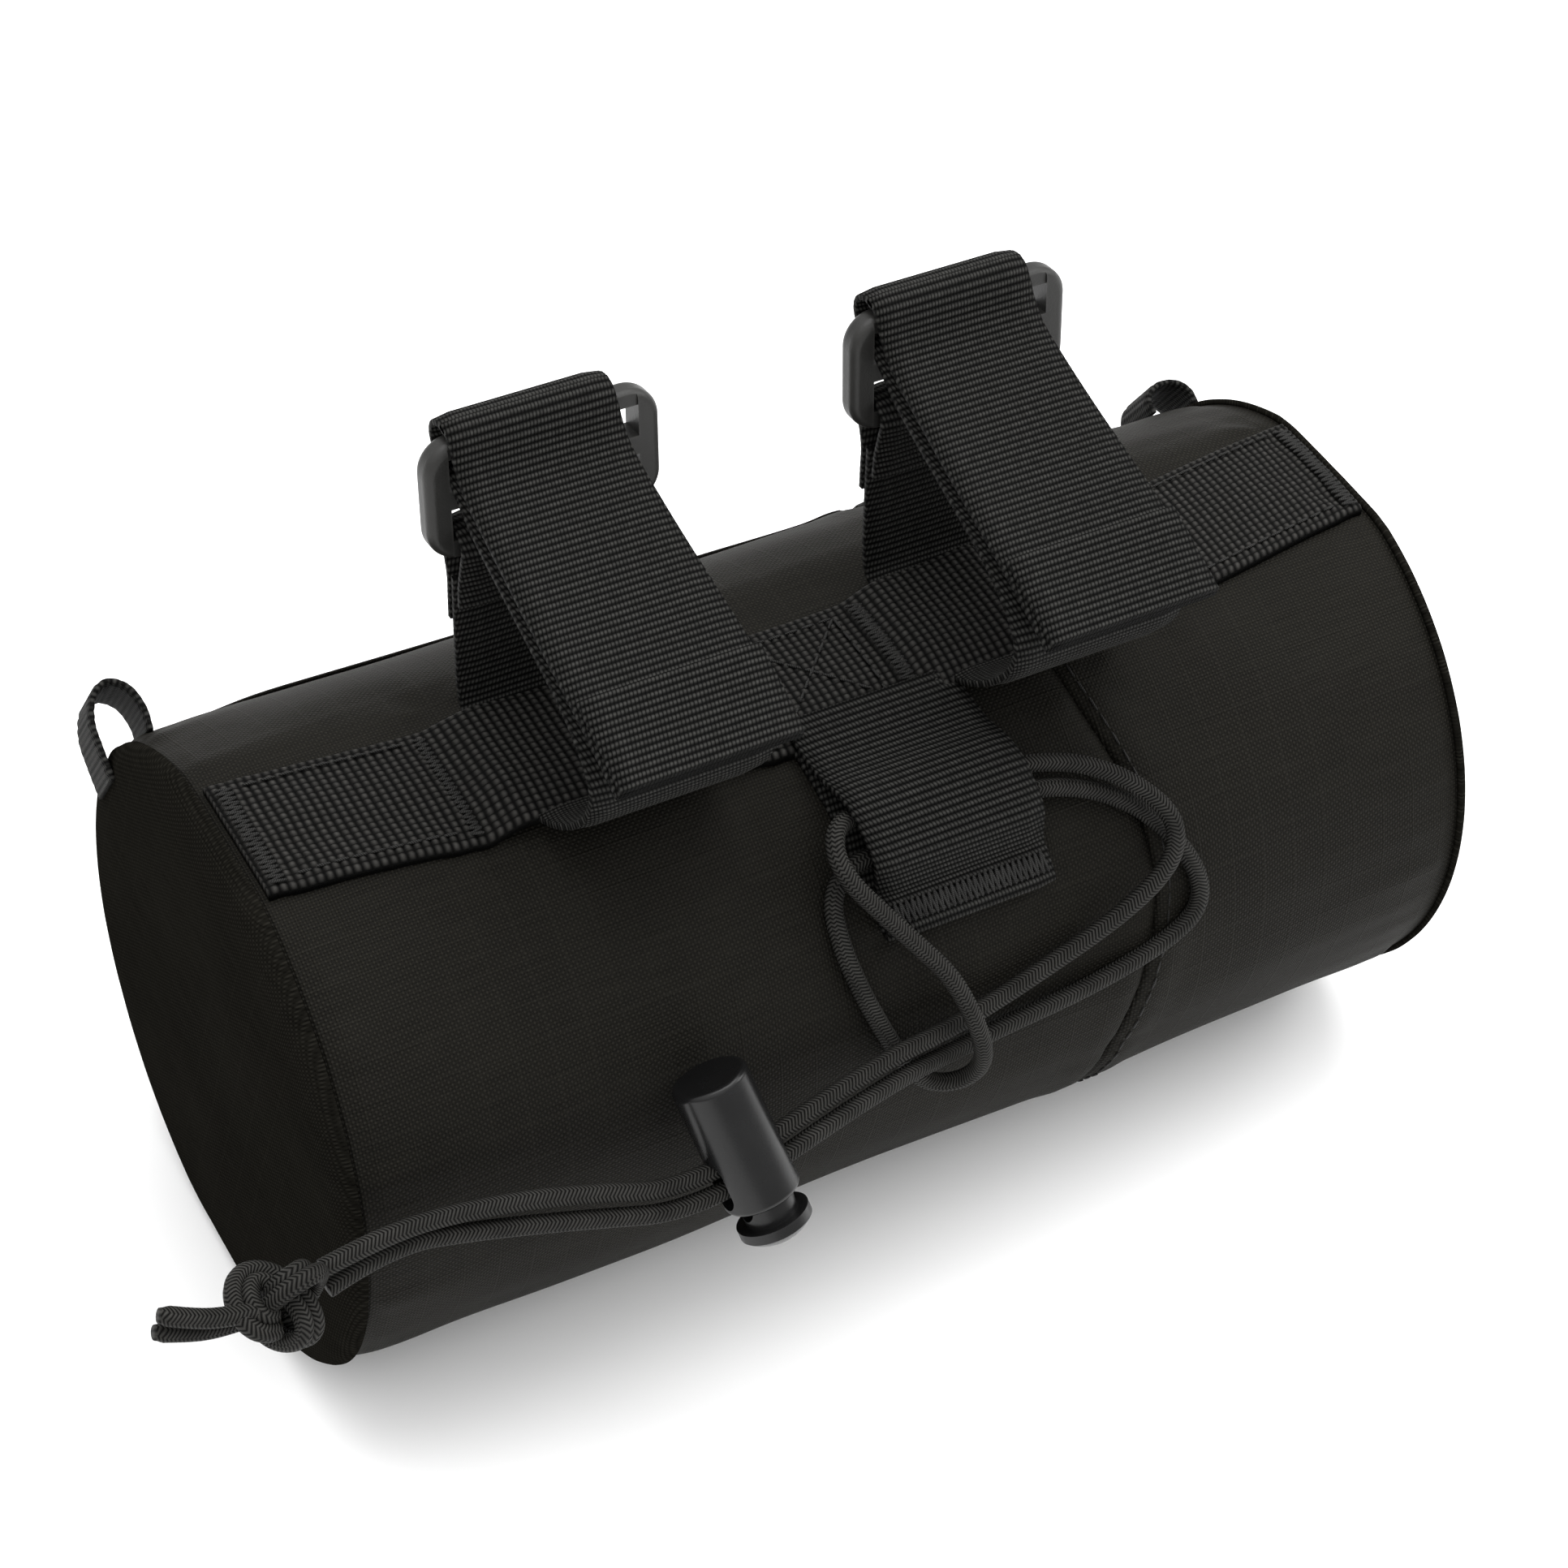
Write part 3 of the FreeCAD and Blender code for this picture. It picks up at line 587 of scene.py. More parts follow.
def cord_end(name, root, tip):
    """One short end past the knot, narrower at its cut; root and tip are seen from the knot."""
    middle = (root + tip) / 2 + Vector((0.0, -0.4, -0.5))
    line = smooth_path([KNOT + root, KNOT + middle, KNOT + tip], KNOT_STEP)
    length = (tip - root).length
    end = tube(name, line, lambda s: CORD_D / 2 - 0.3 * ramp(s, length - 1.2, length))
    return dress(end, BRAID)


def make_knot():
    pieces = []
    for k, shift in enumerate((-1.0, 1.0)):
        strand = tube("knot_strand_%d" % k, knot_line(shift), KNOT_STRAND_R)
        pieces.append(dress(strand, BRAID, stands_for=("cord_knot",)))
    pieces.append(cord_end("cord_end_0", Vector((-3.5, -1.0, 1.6)), Vector((-15.0, 0.9, 5.2))))
    pieces.append(cord_end("cord_end_1", Vector((-3.5, 0.6, -1.5)), Vector((-15.6, 1.2, 1.9))))
    return pieces


cord, cord_line = make_cord()
knot_pieces = make_knot()


# ------------------------------------------------------------------ bag body

def section_radius(degrees):
    """From the bag's axis to its surface: a circle with a softened flat at top and underside."""
    c = abs(math.cos(math.radians(degrees)))
    flat = FLAT / max(c, 0.3)
    if flat >= BODY_R + 0.6:
        return BODY_R
    softness = 0.35
    return -softness * math.log(math.exp(-BODY_R / softness) + math.exp(-flat / softness))


def round_axis(x, radius, degrees):
    """The point at a radius and an angle round the bag's axis, 0 at the top, 90 at the front."""
    a = math.radians(degrees)
    return Vector((x, -radius * math.sin(a), AXIS_Z + radius * math.cos(a)))


def outwards(degrees):
    a = math.radians(degrees)
    return Vector((0, -math.sin(a), math.cos(a)))


def on_body(x, degrees, out=0.0):
    """A point on the fabric, or out from it."""
    return round_axis(x, body_radius(x, degrees) + out, degrees)


def mid_seam_x(degrees):
    """The seam between the two panels isn't quite square to the bag."""
    wrapped = (degrees + 180) % 360 - 180
    bends = 3.6 * bump(wrapped - 64, 28) - 3.4 * bump(wrapped + 40, 45)
    return MID_SEAM_X + bends - 1.6 * bump(wrapped - 22, 22) - 1.6 * bump(wrapped - 115, 28)


# Where stitching pulls the fabric in: x, angle from the top, reach of the creases, depth
PULLS = (
    (-80.0, 8.0, 13.0, 0.9), (-80.0, -8.0, 12.0, 0.7), (-55.0, 17.0, 9.0, 0.6), (-50.0, -12.0, 8.0, 0.5),
    (-14.0, 20.0, 7.0, 0.5), (-6.0, 57.0, 9.0, 0.7), (17.0, 57.0, 9.0, 0.6), (44.0, 16.0, 9.0, 0.6),
    (44.0, -12.0, 8.0, 0.5), (80.0, 14.0, 12.0, 0.8), (80.0, -14.0, 11.0, 0.7), (30.0, 26.0, 9.0, 0.5),
)


def body_radius(x, degrees):
    """From the bag's axis to the fabric, with its seams, puckers and creases."""
    wrapped = (degrees + 180) % 360 - 180
    arc = math.radians(wrapped) * BODY_R
    r = section_radius(degrees)
    from_end = HALF_L - abs(x)
    # the seams pull the fabric in, and it fills out between them
    r -= 1.5 * bump(from_end, 1.6) + 0.5 * bump(from_end, 5.0)
    seam = x - mid_seam_x(degrees)
    r -= 0.95 * bump(seam, 0.8)
    r += 0.30 * bump(seam - 3.4, 2.6) + 0.35 * bump(seam + 3.2, 3.0)
    # puckers square to the seams
    pucker = noise.noise(Vector((x * 0.03, arc * 0.21, 3.0 if x > 0 else 9.0)))
    r += 0.85 * pucker * math.exp(-from_end / 8.5)
    r += 0.30 * noise.noise(Vector((x * 0.05, arc * 0.33, 21.0))) * math.exp(-abs(seam) / 4.5)
    # soft unevenness of the whole tube
    r += 0.80 * noise.noise(Vector((x * 0.022, arc * 0.036, 5.0)))
    r += 0.30 * noise.noise(Vector((x * 0.05, arc * 0.12, 14.0)))
    # creases that spread from the stitched points
    for px, pa, reach, depth in PULLS:
        dx, da = x - px, arc - math.radians(pa) * BODY_R
        distance = math.hypot(dx, da)
        if distance < 3.2 * reach:
            around = math.atan2(da, dx)
            fan = math.sin(5 * around + px) * ramp(distance, 0.5, 4.0)
            r -= depth * (0.7 * bump(distance, reach * 0.45) + 0.5 * fan * math.exp(-distance / reach))
    # the folded edges along the zip
    from_zip = abs(wrapped - ZIP_ANGLE) - MOUTH_HALF_ANGLE
    if from_zip < 9 and abs(x) < MOUTH_HALF_L + 6:
        near = math.radians(max(from_zip, 0.0)) * BODY_R
        r += 0.35 * bump(near, 2.2) - 0.28 * bump(near - 3.0, 0.5)
    # the padding under the fabric stops every dent
    padding = section_radius(degrees) - 0.7
    return padding + 0.35 * math.log(1 + math.exp((r + 0.25 - padding) / 0.35))


def panel_columns():
    """Angles round the bag, starting at one edge of the zip's mouth and ending across it."""
    start = ZIP_ANGLE + MOUTH_HALF_ANGLE
    sweep = 360 - 2 * MOUTH_HALF_ANGLE
    around = [start + sweep * i / PANEL_COLUMNS for i in range(PANEL_COLUMNS + 1)]
    width = 2 * MOUTH_HALF_ANGLE / MOUTH_COLUMNS
    return around + [ZIP_ANGLE - MOUTH_HALF_ANGLE + 360 + width * k for k in range(1, MOUTH_COLUMNS)]


def body_panel(name, x0, x1, follow_seam_at):
    """One panel of the tube, its seam edge following the slanting seam."""
    columns = panel_columns()
    steps = round((x1 - x0) / PANEL_STEP)
    points, uvs = [], []
    for i in range(steps + 1):
        t = i / steps
        for degrees in columns:
            low = mid_seam_x(degrees) if follow_seam_at == "low" else x0
            high = mid_seam_x(degrees) if follow_seam_at == "high" else x1
            x = low + (high - low) * t
            points.append(on_body(x, degrees))
            uvs.append((x, math.radians(degrees) * BODY_R))
    count = len(columns)
    faces = []
    for face in band_faces(steps + 1, count):
        column = face[0] % count
        x = points[face[0]].x
        in_mouth = column >= PANEL_COLUMNS and abs(x + PANEL_STEP / 2) < MOUTH_HALF_L
        if not in_mouth:
            faces.append(face)
    panel = build_mesh(name, points, faces, uvs)
    close_flat_round(panel.data)
    thicken(panel)
    return panel


def close_flat_round(mesh):
    """Faces that join the last column to the first get flat coordinates that carry on round."""
    layer = mesh.uv_layers["flat"]
    for polygon in mesh.polygons:
        values = [layer.data[i].uv[1] for i in polygon.loop_indices]
        if max(values) - min(values) > BODY_R:
            for i in polygon.loop_indices:
                if layer.data[i].uv[1] < 0:
                    layer.data[i].uv[1] += 2 * math.pi * BODY_R


def thicken(obj):
    """Gives a fabric panel its thickness, inwards."""
    solidify = obj.modifiers.new("cloth", "SOLIDIFY")
    solidify.thickness = PANEL_T * MM
    solidify.offset = -1
    solidify.use_even_offset = True


def end_panel(side):
    """A round end, domed, creased near its seam, its rim turned in to meet the tube."""
    sign = -1 if side == "left" else 1
    rings, count = 48, 220
    points, uvs = [], []
    for i in range(rings + 1):
        t = 1 - (1 - i / rings) ** 1.7
        for j in range(count):
            degrees = 360 * j / count
            rim = body_radius(sign * HALF_L, degrees) - 0.1
            _, y, z = round_axis(0, rim * t, degrees)
            bulge = END_BULGE * (1 - t ** 16) ** 0.55
            bulge += 0.5 * noise.noise(Vector((y * 0.05, z * 0.05, sign * 4.0))) * (1 - t ** 4)
            bulge += 0.45 * noise.noise(Vector((degrees * 0.11, 0.0, sign * 7.0))) * t ** 3 * (1 - t)
            points.append(Vector((sign * (HALF_L + bulge), y, z)))
            uvs.append((y + 0.3 * z, z))
    faces = band_faces(rings + 1, count)
    if sign < 0:
        faces = [face[::-1] for face in faces]
    panel = build_mesh("end_%s" % side, points, faces, uvs)
    thicken(panel)
    return panel


def make_body():
    left = body_panel("panel_left", -HALF_L, MID_SEAM_X, "high")
    right = body_panel("panel_right", MID_SEAM_X, HALF_L, "low")
    dress(left, FABRIC, stands_for=("body_panel_left",))
    dress(right, FABRIC, stands_for=("body_panel_right",))
    for side in ("left", "right"):
        panel = end_panel(side)
        # The ends get the darker copy of the fabric, which is painted shade.
        dress(panel, SHADED_END_FABRIC, stands_for=("end_panel_%s" % side,))


def round_seam(name, x_at, pitch, length, start, end):
    """A row of stitches round the bag at x_at(angle)."""
    stitches = []
    degrees = start
    step = math.degrees(pitch / BODY_R)
    while degrees < end:
        here = on_body(x_at(degrees), degrees)
        after = on_body(x_at(degrees + step), degrees + step)
        out = outwards(degrees)
        along = (after - here).normalized()
        side = along.cross(out).normalized()
        stitches.append((here + out * 0.05, (along * length / 2, side * 0.2, out * 0.18)))
        degrees += step
    return dress(thread_mesh(name, stitches), THREAD)


def long_seam(name, degrees, x0, x1, pitch, length):
    """A row of stitches along the bag."""
    stitches = []
    out = outwards(degrees)
    side = Vector((1, 0, 0)).cross(out)
    for i in range(int((x1 - x0) / pitch)):
        centre = on_body(x0 + i * pitch, degrees, 0.05)
        stitches.append((centre, (Vector((length / 2, 0, 0)), side * 0.2, out * 0.18)))
    return dress(thread_mesh(name, stitches), THREAD)


def make_topstitching():
    """Beside the mid seam, and along both edges of the zip."""
    pitch = 2.6
    round_seam("topstitch_mid", lambda d: mid_seam_x(d) + 1.7, pitch, 2.2,
               ZIP_ANGLE + MOUTH_HALF_ANGLE + 1, ZIP_ANGLE - MOUTH_HALF_ANGLE + 359)
    for name, degrees in (("topstitch_zip_a", ZIP_ANGLE + MOUTH_HALF_ANGLE + 4.0),
                          ("topstitch_zip_b", ZIP_ANGLE - MOUTH_HALF_ANGLE - 4.0)):
        long_seam(name, degrees, -MOUTH_HALF_L - 3, MOUTH_HALF_L + 3, pitch, 2.1)


make_body()
make_topstitching()


# ------------------------------------------------------------------ webbing

def rib_height(s, pitch):
    """0 between two ribs, 1 on top of one, at the distance s."""
    return abs(math.sin(math.pi * s / pitch)) ** 0.75


def strip_parts(rows):
    """Points, faces and flat coordinates of a strip, from the closed rows of pairs round it."""
    ring = len(rows[0])
    points = [point for row in rows for point, uv in row]
    uvs = [uv for row in rows for point, uv in row]
    faces = band_faces(len(rows), ring)
    for base in (0, len(points) - ring):
        for k in range(ring // 2 - 1):
            quad = (base + k, base + k + 1, base + ring - 2 - k, base + ring - 1 - k)
            faces.append(quad if base else quad[::-1])
    return points, faces, uvs


def webbing(name, path, across, width, thickness, pitch=RIB_PITCH, relief=0.2, drawn_in=None):
    """A ribbed strip along a path; across gives the unit vector over its width at each point.

    drawn_in gives how far the strip's right and left edges are pulled in at each point."""
    columns = 11
    offsets = [-1 + 2 * k / (columns - 1) for k in range(columns)]
    rows = []
    travelled = 0.0
    along = tangents(path)
    for i, centre in enumerate(path):
        if i:
            travelled += (centre - path[i - 1]).length
        side = across(i)
        normal = along[i].cross(side).normalized()
        rib = relief * rib_height(travelled, pitch)
        row_top, row_low = [], []
        for w in offsets:
            selvage = ramp(abs(w), 0.80, 1.0)
            groove = bump(abs(w) - 0.72, 0.03)
            half = thickness / 2 - relief + rib * (1 - 0.5 * selvage) - 0.12 * groove
            half *= 1 - 0.35 * ramp(abs(w), 0.95, 1.0)
            right_in, left_in = drawn_in(centre) if drawn_in else (0.0, 0.0)
            offset = (w + 1) / 2 * (width - right_in - left_in) - width / 2 + left_in
            place = centre + side * offset
            row_top.append((place + normal * half, (w * width / 2, travelled)))
            row_low.append((place - normal * half, (w * width / 2, travelled)))
        rows.append(row_top + row_low[::-1])
    return build_mesh(name, *strip_parts(rows))


X_AXIS = Vector((1, 0, 0))

# The base webbing's bartacks: place along the bag, and width
BARTACKS = ((-80.3, 2.4), (-55.0, 1.8), (-14.3, 1.8), (7.0, 2.6), (44.8, 1.8), (80.3, 2.4))
BARTACK_PITCH = 0.42


def yz(x, pairs):
    """Points in a plane across the bag, from pairs of Y and Z."""
    return [Vector((x, y, z)) for y, z in pairs]


def top_surface(x, y):
    """Height of the bag under the base webbing."""
    degrees = math.degrees(math.atan2(-y, FLAT))
    return on_body(x, degrees).z


def base_centre(x):
    """The base webbing bows towards the front in the middle."""
    return -0.4 - 6.6 * (1 - (x / 84) ** 2) + 1.2 * x / 84


def base_lift(x):
    """How far the base webbing stands off the bag: over each strap, and not at its stitching."""
    lift = 0.0
    for centre in STRAP_X.values():
        lift = max(lift, 1.95 * (1 - ramp(abs(x - centre), 13.2, 19.5)))
    return lift


def make_base_webbing():
    """The webbing along the top, with a grid of small beads."""
    columns = 81
    offsets = [-1 + 2 * k / (columns - 1) for k in range(columns)]
    relief = 0.3
    step = BASE_RIB / 6
    count = round(2 * (HALF_L - 1.0) / step)
    rows = []
    for i in range(count + 1):
        x = -(HALF_L - 1.0) + step * i
        rib = rib_height(x, BASE_RIB)
        top, low = [], []
        for w in offsets:
            from_middle = w * BASE_W / 2
            y = base_centre(x) + from_middle
            selvage = ramp(abs(w), 0.82, 1.0)
            bead = rib * (0.45 + 0.55 * rib_height(from_middle, BASE_BEAD))
            base = top_surface(x, y) + BASE_GAP + base_lift(x)
            face = base + (BASE_T - relief) * (1 - 0.3 * ramp(abs(w), 0.95, 1.0))
            top.append((Vector((x, y, face + relief * bead * (1 - 0.4 * selvage))), (from_middle, x)))
            low.append((Vector((x, y, base)), (from_middle, x)))
        rows.append(top + low[::-1])
    points, faces, uvs = strip_parts(rows)
    strip = build_mesh("webbing_base", points, [face[::-1] for face in faces], uvs)
    return dress(strip, BASE_WEBBING, stands_for=("base_webbing",))


def base_top(x, y):
    """Height of the base webbing's face, just under the tops of its beads."""
    return top_surface(x, y) + BASE_GAP + base_lift(x) + BASE_T - 0.03


def bartack(x, bar_width, rng):
    """Dense zigzag threads across the base webbing."""
    stitches = []
    low, high = base_centre(x) - 8.8, base_centre(x) + 8.8
    for i in range(int((high - low) / BARTACK_PITCH)):
        y = low + BARTACK_PITCH * i
        lean = 0.35 if i % 2 else -0.35
        z = base_top(x, y) + 0.16 + rng.uniform(-0.04, 0.04)
        along = Vector((bar_width / 2 * rng.uniform(0.9, 1.05), lean * 0.6, 0))
        stitches.append((Vector((x, y, z)), (along, Vector((0, 0.24, 0)), Vector((0, 0, 0.2)))))
    return stitches


def line_stitches(start, end, pitch=2.4, length=2.0):
    """Running stitches on top of the base webbing from one (x, y) to another."""
    stitches = []
    span = Vector((end[0] - start[0], end[1] - start[1], 0))
    count = max(1, round(span.length / pitch))
    along = span.normalized()
    for i in range(count):
        place = Vector((start[0], start[1], 0)) + span * ((i + 0.5) / count)
        place.z = base_top(place.x, place.y) + 0.08
        side = along.cross(Vector((0, 0, 1)))
        stitches.append((place, (along * length / 2, side * 0.22, Vector((0, 0, 0.2)))))
    return stitches


def make_base_stitching():
    """Bartacks each side of the straps, a crossed box over the cord tab, and the ends' edges."""
    rng = random.Random(4)
    stitches = []
    for x, bar_width in BARTACKS:
        stitches += bartack(x, bar_width, rng)
    x0, x1, half = -11.4, 3.6, 7.6
    corners = []
    for x, side in ((x0, -half), (x1, -half), (x1, half), (x0, half)):
        corners.append((x, base_centre(x) + side))
    for a, b in zip(corners, corners[1:] + corners[:1]):
        stitches += line_stitches(a, b)
    stitches += line_stitches(corners[0], corners[2]) + line_stitches(corners[1], corners[3])
    for a, b in ((-78.0, -57.0), (47.0, 78.0)):
        for side in (-8.2, 8.2):
            stitches += line_stitches((a, base_centre(a) + side), (b, base_centre(b) + side))
    return dress(thread_mesh("base_stitching", stitches), THREAD, stands_for=("base_bartacks",))


def strap_path(x):
    """Up from the base webbing, round the front and through the tri-glide, over its top bar."""
    return smooth_path(yz(x, [
        (9.3, 103.2), (8.7, 97.0), (8.1, 91.0), (7.5, 86.6), (6.2, 83.6), (3.0, 82.85), (-4.0, 82.8),
        (-11.0, 82.85), (-15.2, 83.6), (-19.4, 86.1), (-23.8, 90.0), (-27.2, 94.8), (-28.0, 99.4),
        (-25.0, 103.2), (-18.6, 106.9), (-7.2, 110.85), (2.6, 114.4), (6.9, 116.8), (10.5, 118.9),
        (13.7, 120.0), (15.2, 122.0), (14.8, 124.0), (13.0, 125.1), (11.4, 124.8)]), STRAP_STEP)


def tail_path(x):
    """From the fold over the tri-glide, down the front on top of the strap."""
    return smooth_path(yz(x, [
        (12.6, 125.3), (11.0, 124.9), (9.6, 123.5), (8.2, 121.6), (6.2, 119.8), (4.0, 118.6), (1.2, 117.5),
        (-8.4, 113.9), (-19.0, 110.3), (-27.0, 107.4), (-34.4, 104.5)]), STRAP_STEP)


def drawn_by_glide(point):
    """The glide bunches the strap up a little, and moves it to the left."""
    near = ramp(point.z, 104.0, 121.0)
    return 2.9 * near, -0.4 * near


def point_near(path, y, z):
    return min(range(len(path)), key=lambda i: (path[i].y - y) ** 2 + (path[i].z - z) ** 2)


def across_stitches(path, i, width, lift, rng):
    """Two rows of running stitches over a strap's width, lifted off the path towards its normal."""
    row_gap, pitch, length = 0.9, 2.3, 1.9
    along = tangents(path)
    stitches = []
    for row in range(2):
        k = min(len(path) - 1, i + round(row * row_gap / STRAP_STEP))
        normal = along[k].cross(X_AXIS)
        count = int(width / pitch)
        for j in range(count):
            w = (j - (count - 1) / 2) * pitch + rng.uniform(-0.08, 0.08)
            centre = path[k] + X_AXIS * w + normal * lift
            stitches.append((centre, (X_AXIS * length / 2, along[k] * 0.25, normal * 0.22)))
    return stitches


def bar_stitches(path, i, width, lift, rng, depth=2.2):
    """A dense bartack over a strap's width."""
    along = tangents(path)
    normal = along[i].cross(X_AXIS)
    stitches = []
    count = int(width / BARTACK_PITCH)
    for j in range(count):
        w = (j - (count - 1) / 2) * BARTACK_PITCH
        lean = X_AXIS * (0.2 if j % 2 else -0.2)
        centre = path[i] + X_AXIS * w + normal * (lift + rng.uniform(-0.03, 0.03))
        stitches.append((centre, (along[i] * depth / 2 + lean, X_AXIS * 0.24, normal * 0.2)))
    return stitches


def offset_path(path, first, last, offset):
    """The points of a strap's path from first up to last, moved towards its normal."""
    along = tangents(path)
    return [path[i] + along[i].cross(X_AXIS) * offset for i in range(first, last)]


def make_strap(side, rng):
    """The strap from its riser to the tri-glide, and the sewn eye round the glide's lower bar."""
    x = STRAP_X[side]
    path = strap_path(x)
    strip = webbing("webbing_strap_%s" % side, path, lambda i: X_AXIS, STRAP_W, STRAP_T,
                    drawn_in=drawn_by_glide)
    dress(strip, WEBBING, stands_for=("strap_%s" % side,))
    # up the back of the riser, over the bar and down its front
    over_bar = []
    for k in range(7):
        a = math.radians(205 - 230 * k / 6)
        over_bar.append((9.84 + 3.1 * math.cos(a), 108.3 + 3.1 * math.sin(a)))
    front = [(11.4, 104.6), (10.6, 102.2), (10.3, 99.0), (10.0, 96.0)]
    loop = smooth_path(yz(x, [(7.4, 99.6), (7.5, 103.0)] + over_bar + front), STRAP_STEP)
    eye = webbing("strap_eye_%s" % side, loop, lambda i: X_AXIS, STRAP_W, 1.4)
    dress(eye, WEBBING)
    at = point_near(loop, 10.4, 101.0)
    stitches = bar_stitches(loop, at, STRAP_W - 2, -0.85, rng)
    stitches += bar_stitches(loop, at, STRAP_W - 2, 0.85, rng)
    dress(thread_mesh("strap_stitches_%s" % side, stitches), THREAD)
    return path


def make_tail(side, rng):
    """The strap's folded tail, its turned hem and the two rows of stitches across it."""
    body = "tail_%s" % side
    path = tail_path(STRAP_X[side])
    strip = webbing("webbing_tail_%s" % side, path, lambda i: X_AXIS, STRAP_W, STRAP_T,
                    drawn_in=drawn_by_glide)
    dress(strip, WEBBING, body, ("strap_tail_%s" % side,))
    hem = offset_path(path, len(path) - 84, len(path), 1.35)
    hem_strip = webbing("hem_%s" % side, hem, lambda i: X_AXIS, STRAP_W - 0.4, 1.3)
    dress(hem_strip, WEBBING, body)
    stitches = across_stitches(path, len(path) - 74, STRAP_W - 4.5, 0.82, rng)
    dress(thread_mesh("tail_stitches_%s" % side, stitches), THREAD, body)
    return path


def make_patch(name, line, material, body, node):
    """Hook or loop tape along part of a strap."""
    strip = webbing(name, line, lambda i: X_AXIS, STRAP_W - 1.4, 0.75, relief=0.12, drawn_in=drawn_by_glide)
    dress(strip, material, body, (node,))


def make_patches(side, strap_line, tail_line):
    """Loop tape on the strap, and hook tape under its tail."""
    offset = 1.16
    first, last = point_near(strap_line, -17.6, 107.3), point_near(strap_line, 2.6, 114.6)
    make_patch("loop_%s" % side, offset_path(strap_line, first, last, offset), LOOPS,
               "bag", "loop_patch_%s" % side)
    first, last = point_near(tail_line, 2.0, 118.0), point_near(tail_line, -19.0, 110.4)
    make_patch("hook_%s" % side, offset_path(tail_line, first, last, -offset), HOOKS,
               "tail_%s" % side, "hook_patch_%s" % side)


make_base_webbing()
make_base_stitching()
for side, seed in (("left", 11), ("right", 12)):
    draws = random.Random(seed)
    strap_line = make_strap(side, draws)
    tail_line = make_tail(side, draws)
    make_patches(side, strap_line, tail_line)


def make_zip_flap():
    """A flap sewn along the bag that covers the zip's upper edge, sinking in at its ends."""
    round_bag = Matrix.Rotation(math.radians(FLAP_ANGLE), 3, "X") @ Vector((0, 1, 0))
    path = []
    for x in range(-FLAP_HALF_L, FLAP_HALF_L + 1):
        sinks = 0.8 * bump(FLAP_HALF_L - abs(x), 7.0)
        path.append(on_body(x, FLAP_ANGLE, -0.05 - sinks))
    flap = webbing("zip_flap", path, lambda i: round_bag, 12.5, 0.5, pitch=50.0, relief=0.02)
    dress(flap, FABRIC)


make_zip_flap()


# ------------------------------------------------------------------ cord tab

TAB_TOP_X, TAB_END_X = 0.4, 4.0

# The tab's fold, from under the base webbing and back: angle round the bag, distance off it
TAB_PROFILE = (
    (19.0, 0.95), (24, 0.95), (30, 0.95), (38, 0.95), (46, 0.95), (53, 1.0), (56.4, 1.2), (57.3, 1.9),
    (56.4, 2.6), (53.0, 2.75), (50, 2.95), (47.6, 4.4), (44.5, 6.6), (40.5, 7.25), (36.5, 7.2),
    (33, 6.0), (29.5, 3.9), (26, 2.9), (22, 2.7), (18.0, 2.75),
)


def tab_path():
    points = []
    for degrees, out in TAB_PROFILE:
        x = TAB_TOP_X + (TAB_END_X - TAB_TOP_X) * (degrees - 20) / 36
        points.append(round_axis(x, BODY_R + out, degrees))
    return smooth_path(points, STRAP_STEP)


def make_tab():
    """The folded webbing that holds the cord, and the bartack across its end."""
    rng = random.Random(5)
    path = tab_path()
    strip = webbing("tab", path, lambda i: X_AXIS, STRAP_W, 1.45)
    dress(strip, WEBBING, stands_for=("cord_tab",))
    middle = round_axis(0, BODY_R + 2.75, 53.5)
    at = point_near(path, middle.y, middle.z)
    stitches = bar_stitches(path, at, STRAP_W - 1.6, -0.85, rng, depth=3.4)
    dress(thread_mesh("tab_stitches", stitches), THREAD, stands_for=("tab_bartack",))


make_tab()


# ------------------------------------------------------------------ end loops

def make_end_loop(side):
    """A short folded tape sewn into an end seam above the zip; the right one is pressed down."""
    sign = -1 if side == "left" else 1
    turn = Matrix.Rotation(math.radians(LOOP_ANGLE), 3, "X")
    points = []
    stands = 1.0 if side == "left" else 0.5
    for x, height in ((HALF_L - 4.4, 0.6), (HALF_L - 4.6, 3.8), (HALF_L - 3.6, 7.0), (HALF_L - 1.2, 8.6),
                      (HALF_L + 1.2, 7.2), (HALF_L + 2.5, 4.0), (HALF_L + 2.7, 0.4), (HALF_L + 2.7, -4.2)):
        height *= stands if height > 0 else 1.0
        local = turn @ Vector((sign * x, 0, BODY_R + height))
        points.append(local + Vector((0, 0, AXIS_Z)))
    path = smooth_path(points, 0.25)
    across = turn @ Vector((0, 1, 0))
    strip = webbing("loop_end_%s" % side, path, lambda i: across, 10.0, 1.1, pitch=1.3, relief=0.16)
    dress(strip, WEBBING, stands_for=("end_loop_%s" % side,))


for side in ("left", "right"):
    make_end_loop(side)


# ------------------------------------------------------------------ CAD nodes that stay

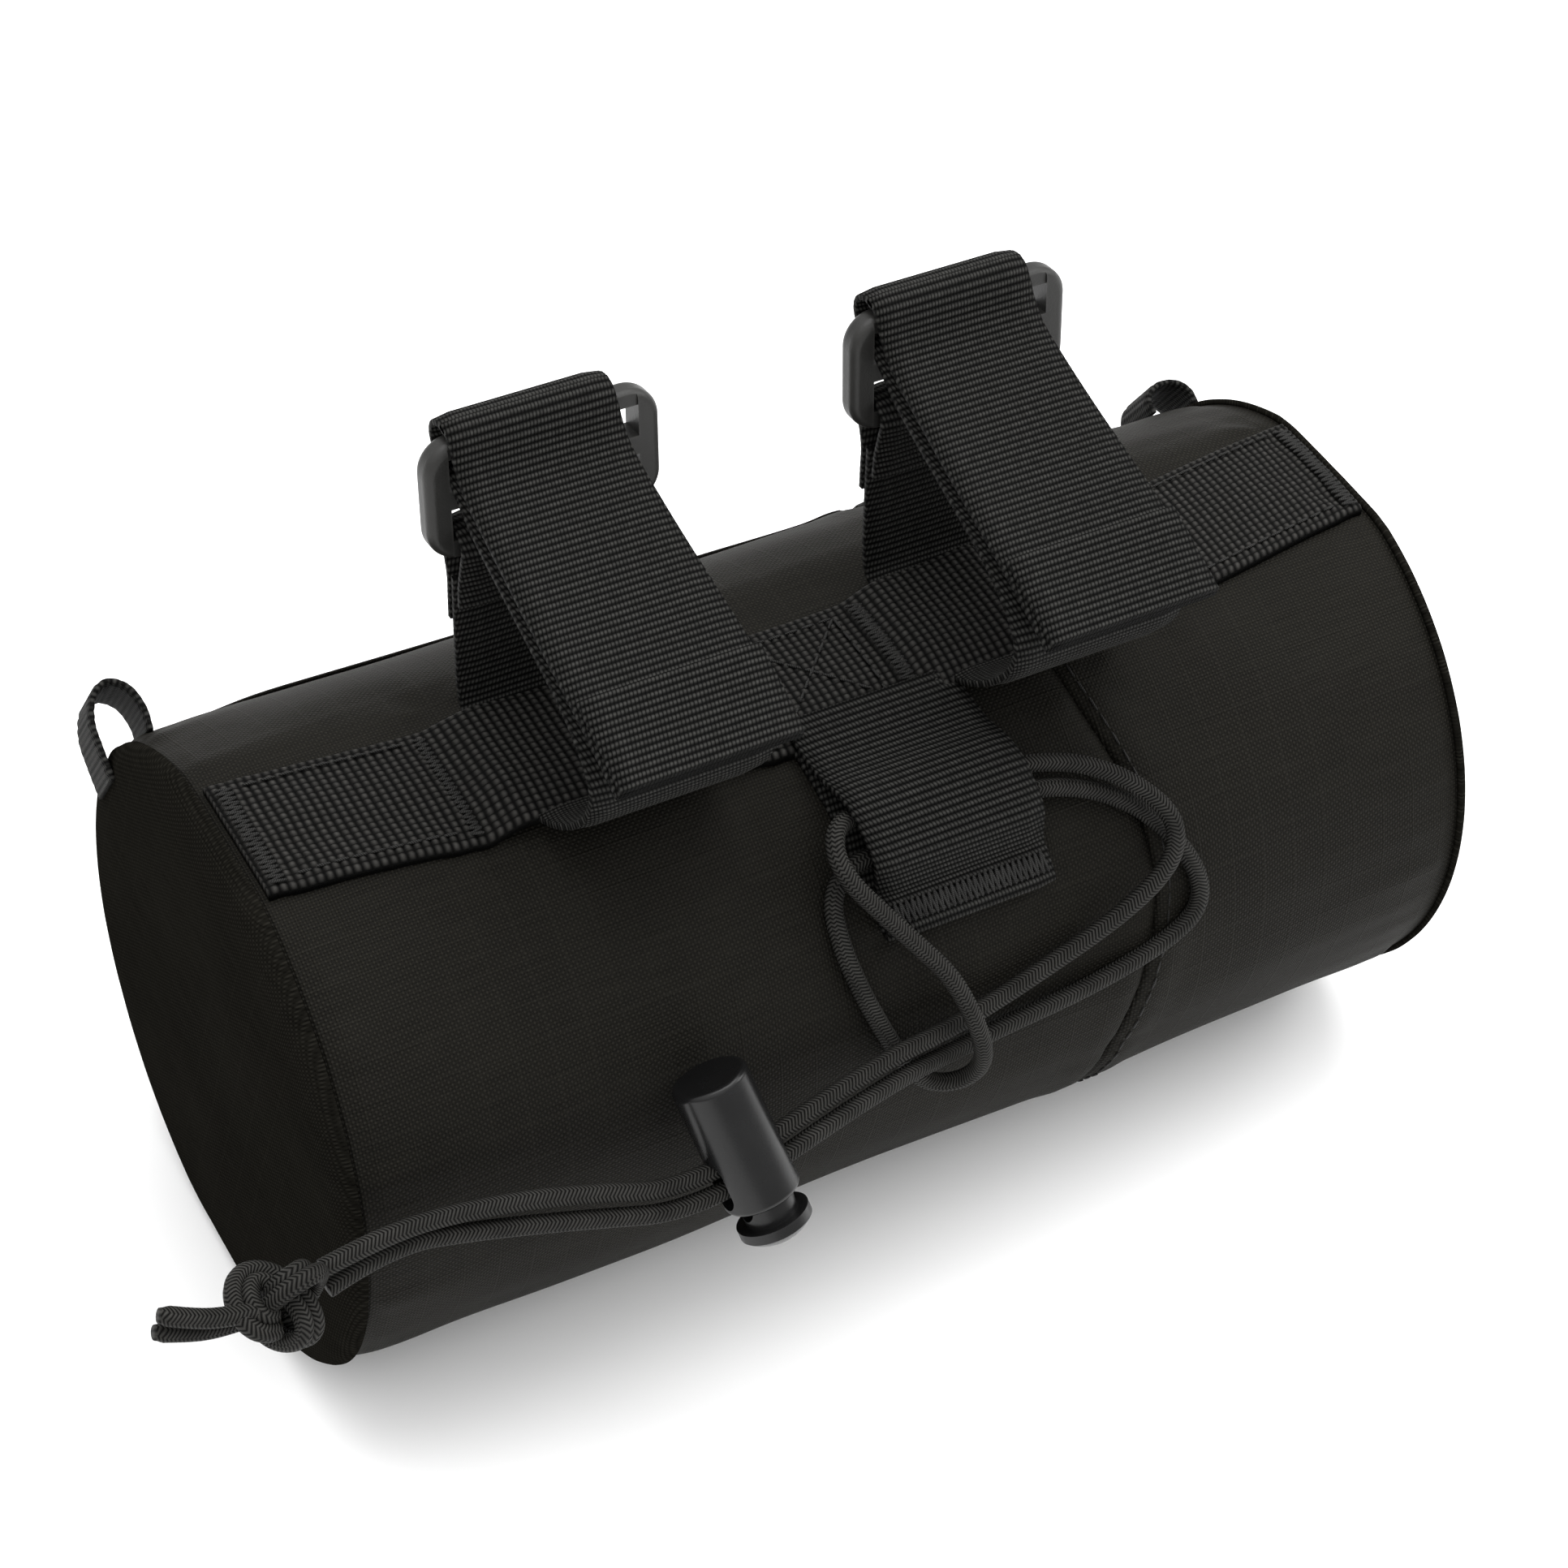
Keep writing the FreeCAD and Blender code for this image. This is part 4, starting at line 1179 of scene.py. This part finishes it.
for side in ("left", "right"):
    repaint("triglide_" + side, BUCKLE)
    repaint("end_foam_" + side, FOAM)
    repaint("seam_binding_" + side, ZIP_CLOTH)
repaint("foam_tube", FOAM)
repaint("lining", LINING)
for node in ("zip_tape_upper", "zip_tape_lower"):
    repaint(node, ZIP_CLOTH)
for node in ("zip_teeth_upper", "zip_teeth_lower", "zip_stops"):
    repaint(node, BUCKLE)
for node in ("zip_slider", "zip_pull"):
    repaint(node, METAL)
for node in ("lock_barrel", "lock_plunger"):
    repaint(node, LOCK)
repaint("lock_spring", WIRE)


# ------------------------------------------------------------------ studio

def make_floor():
    """A plain pale floor."""
    half = 4
    data = bpy.data.meshes.new("floor")
    corners = [(-half, -half, 0), (half, -half, 0), (half, half, 0), (-half, half, 0)]
    data.from_pydata(corners, [], [(0, 1, 2, 3)])
    floor = bpy.data.objects.new("floor", data)
    bpy.context.collection.objects.link(floor)
    s = Shader("pale_floor", 0.9, 0.1)
    s.colour(s.noise(2.0, 2.0), (0.95, 0.95, 0.95), (0.97, 0.97, 0.97))
    data.materials.append(s.material)


def softbox(name, place, size, power):
    """A soft light aimed at the middle of the bag."""
    aim = Vector((0, 0, 0.05))
    data = bpy.data.lights.new(name, "AREA")
    data.shape = "RECTANGLE"
    data.size, data.size_y = size
    data.energy = power
    light = bpy.data.objects.new(name, data)
    light.location = place
    light.rotation_euler = (aim - Vector(place)).to_track_quat("-Z", "Y").to_euler()
    bpy.context.collection.objects.link(light)


def make_world():
    """White light from all round, brighter towards the top."""
    world = bpy.data.worlds.new("studio")
    world.use_nodes = True
    tree = world.node_tree
    background = tree.nodes["Background"]
    background.inputs["Color"].default_value = (1, 1, 1, 1)
    direction = tree.nodes.new("ShaderNodeTexCoord")
    split = tree.nodes.new("ShaderNodeSeparateXYZ")
    tree.links.new(direction.outputs["Generated"], split.inputs[0])
    upwards = tree.nodes.new("ShaderNodeMapRange")
    upwards.inputs["To Min"].default_value = 0.45
    upwards.inputs["To Max"].default_value = 1.9
    tree.links.new(split.outputs[2], upwards.inputs["Value"])
    tree.links.new(upwards.outputs[0], background.inputs["Strength"])
    bpy.context.scene.world = world
    bpy.context.scene.view_settings.view_transform = "Standard"


make_floor()
make_world()
softbox("overhead", (0.1, 0.2, 1.1), (1.2, 0.9), 9)
softbox("right", (1.0, -0.2, 0.7), (0.6, 0.6), 4)
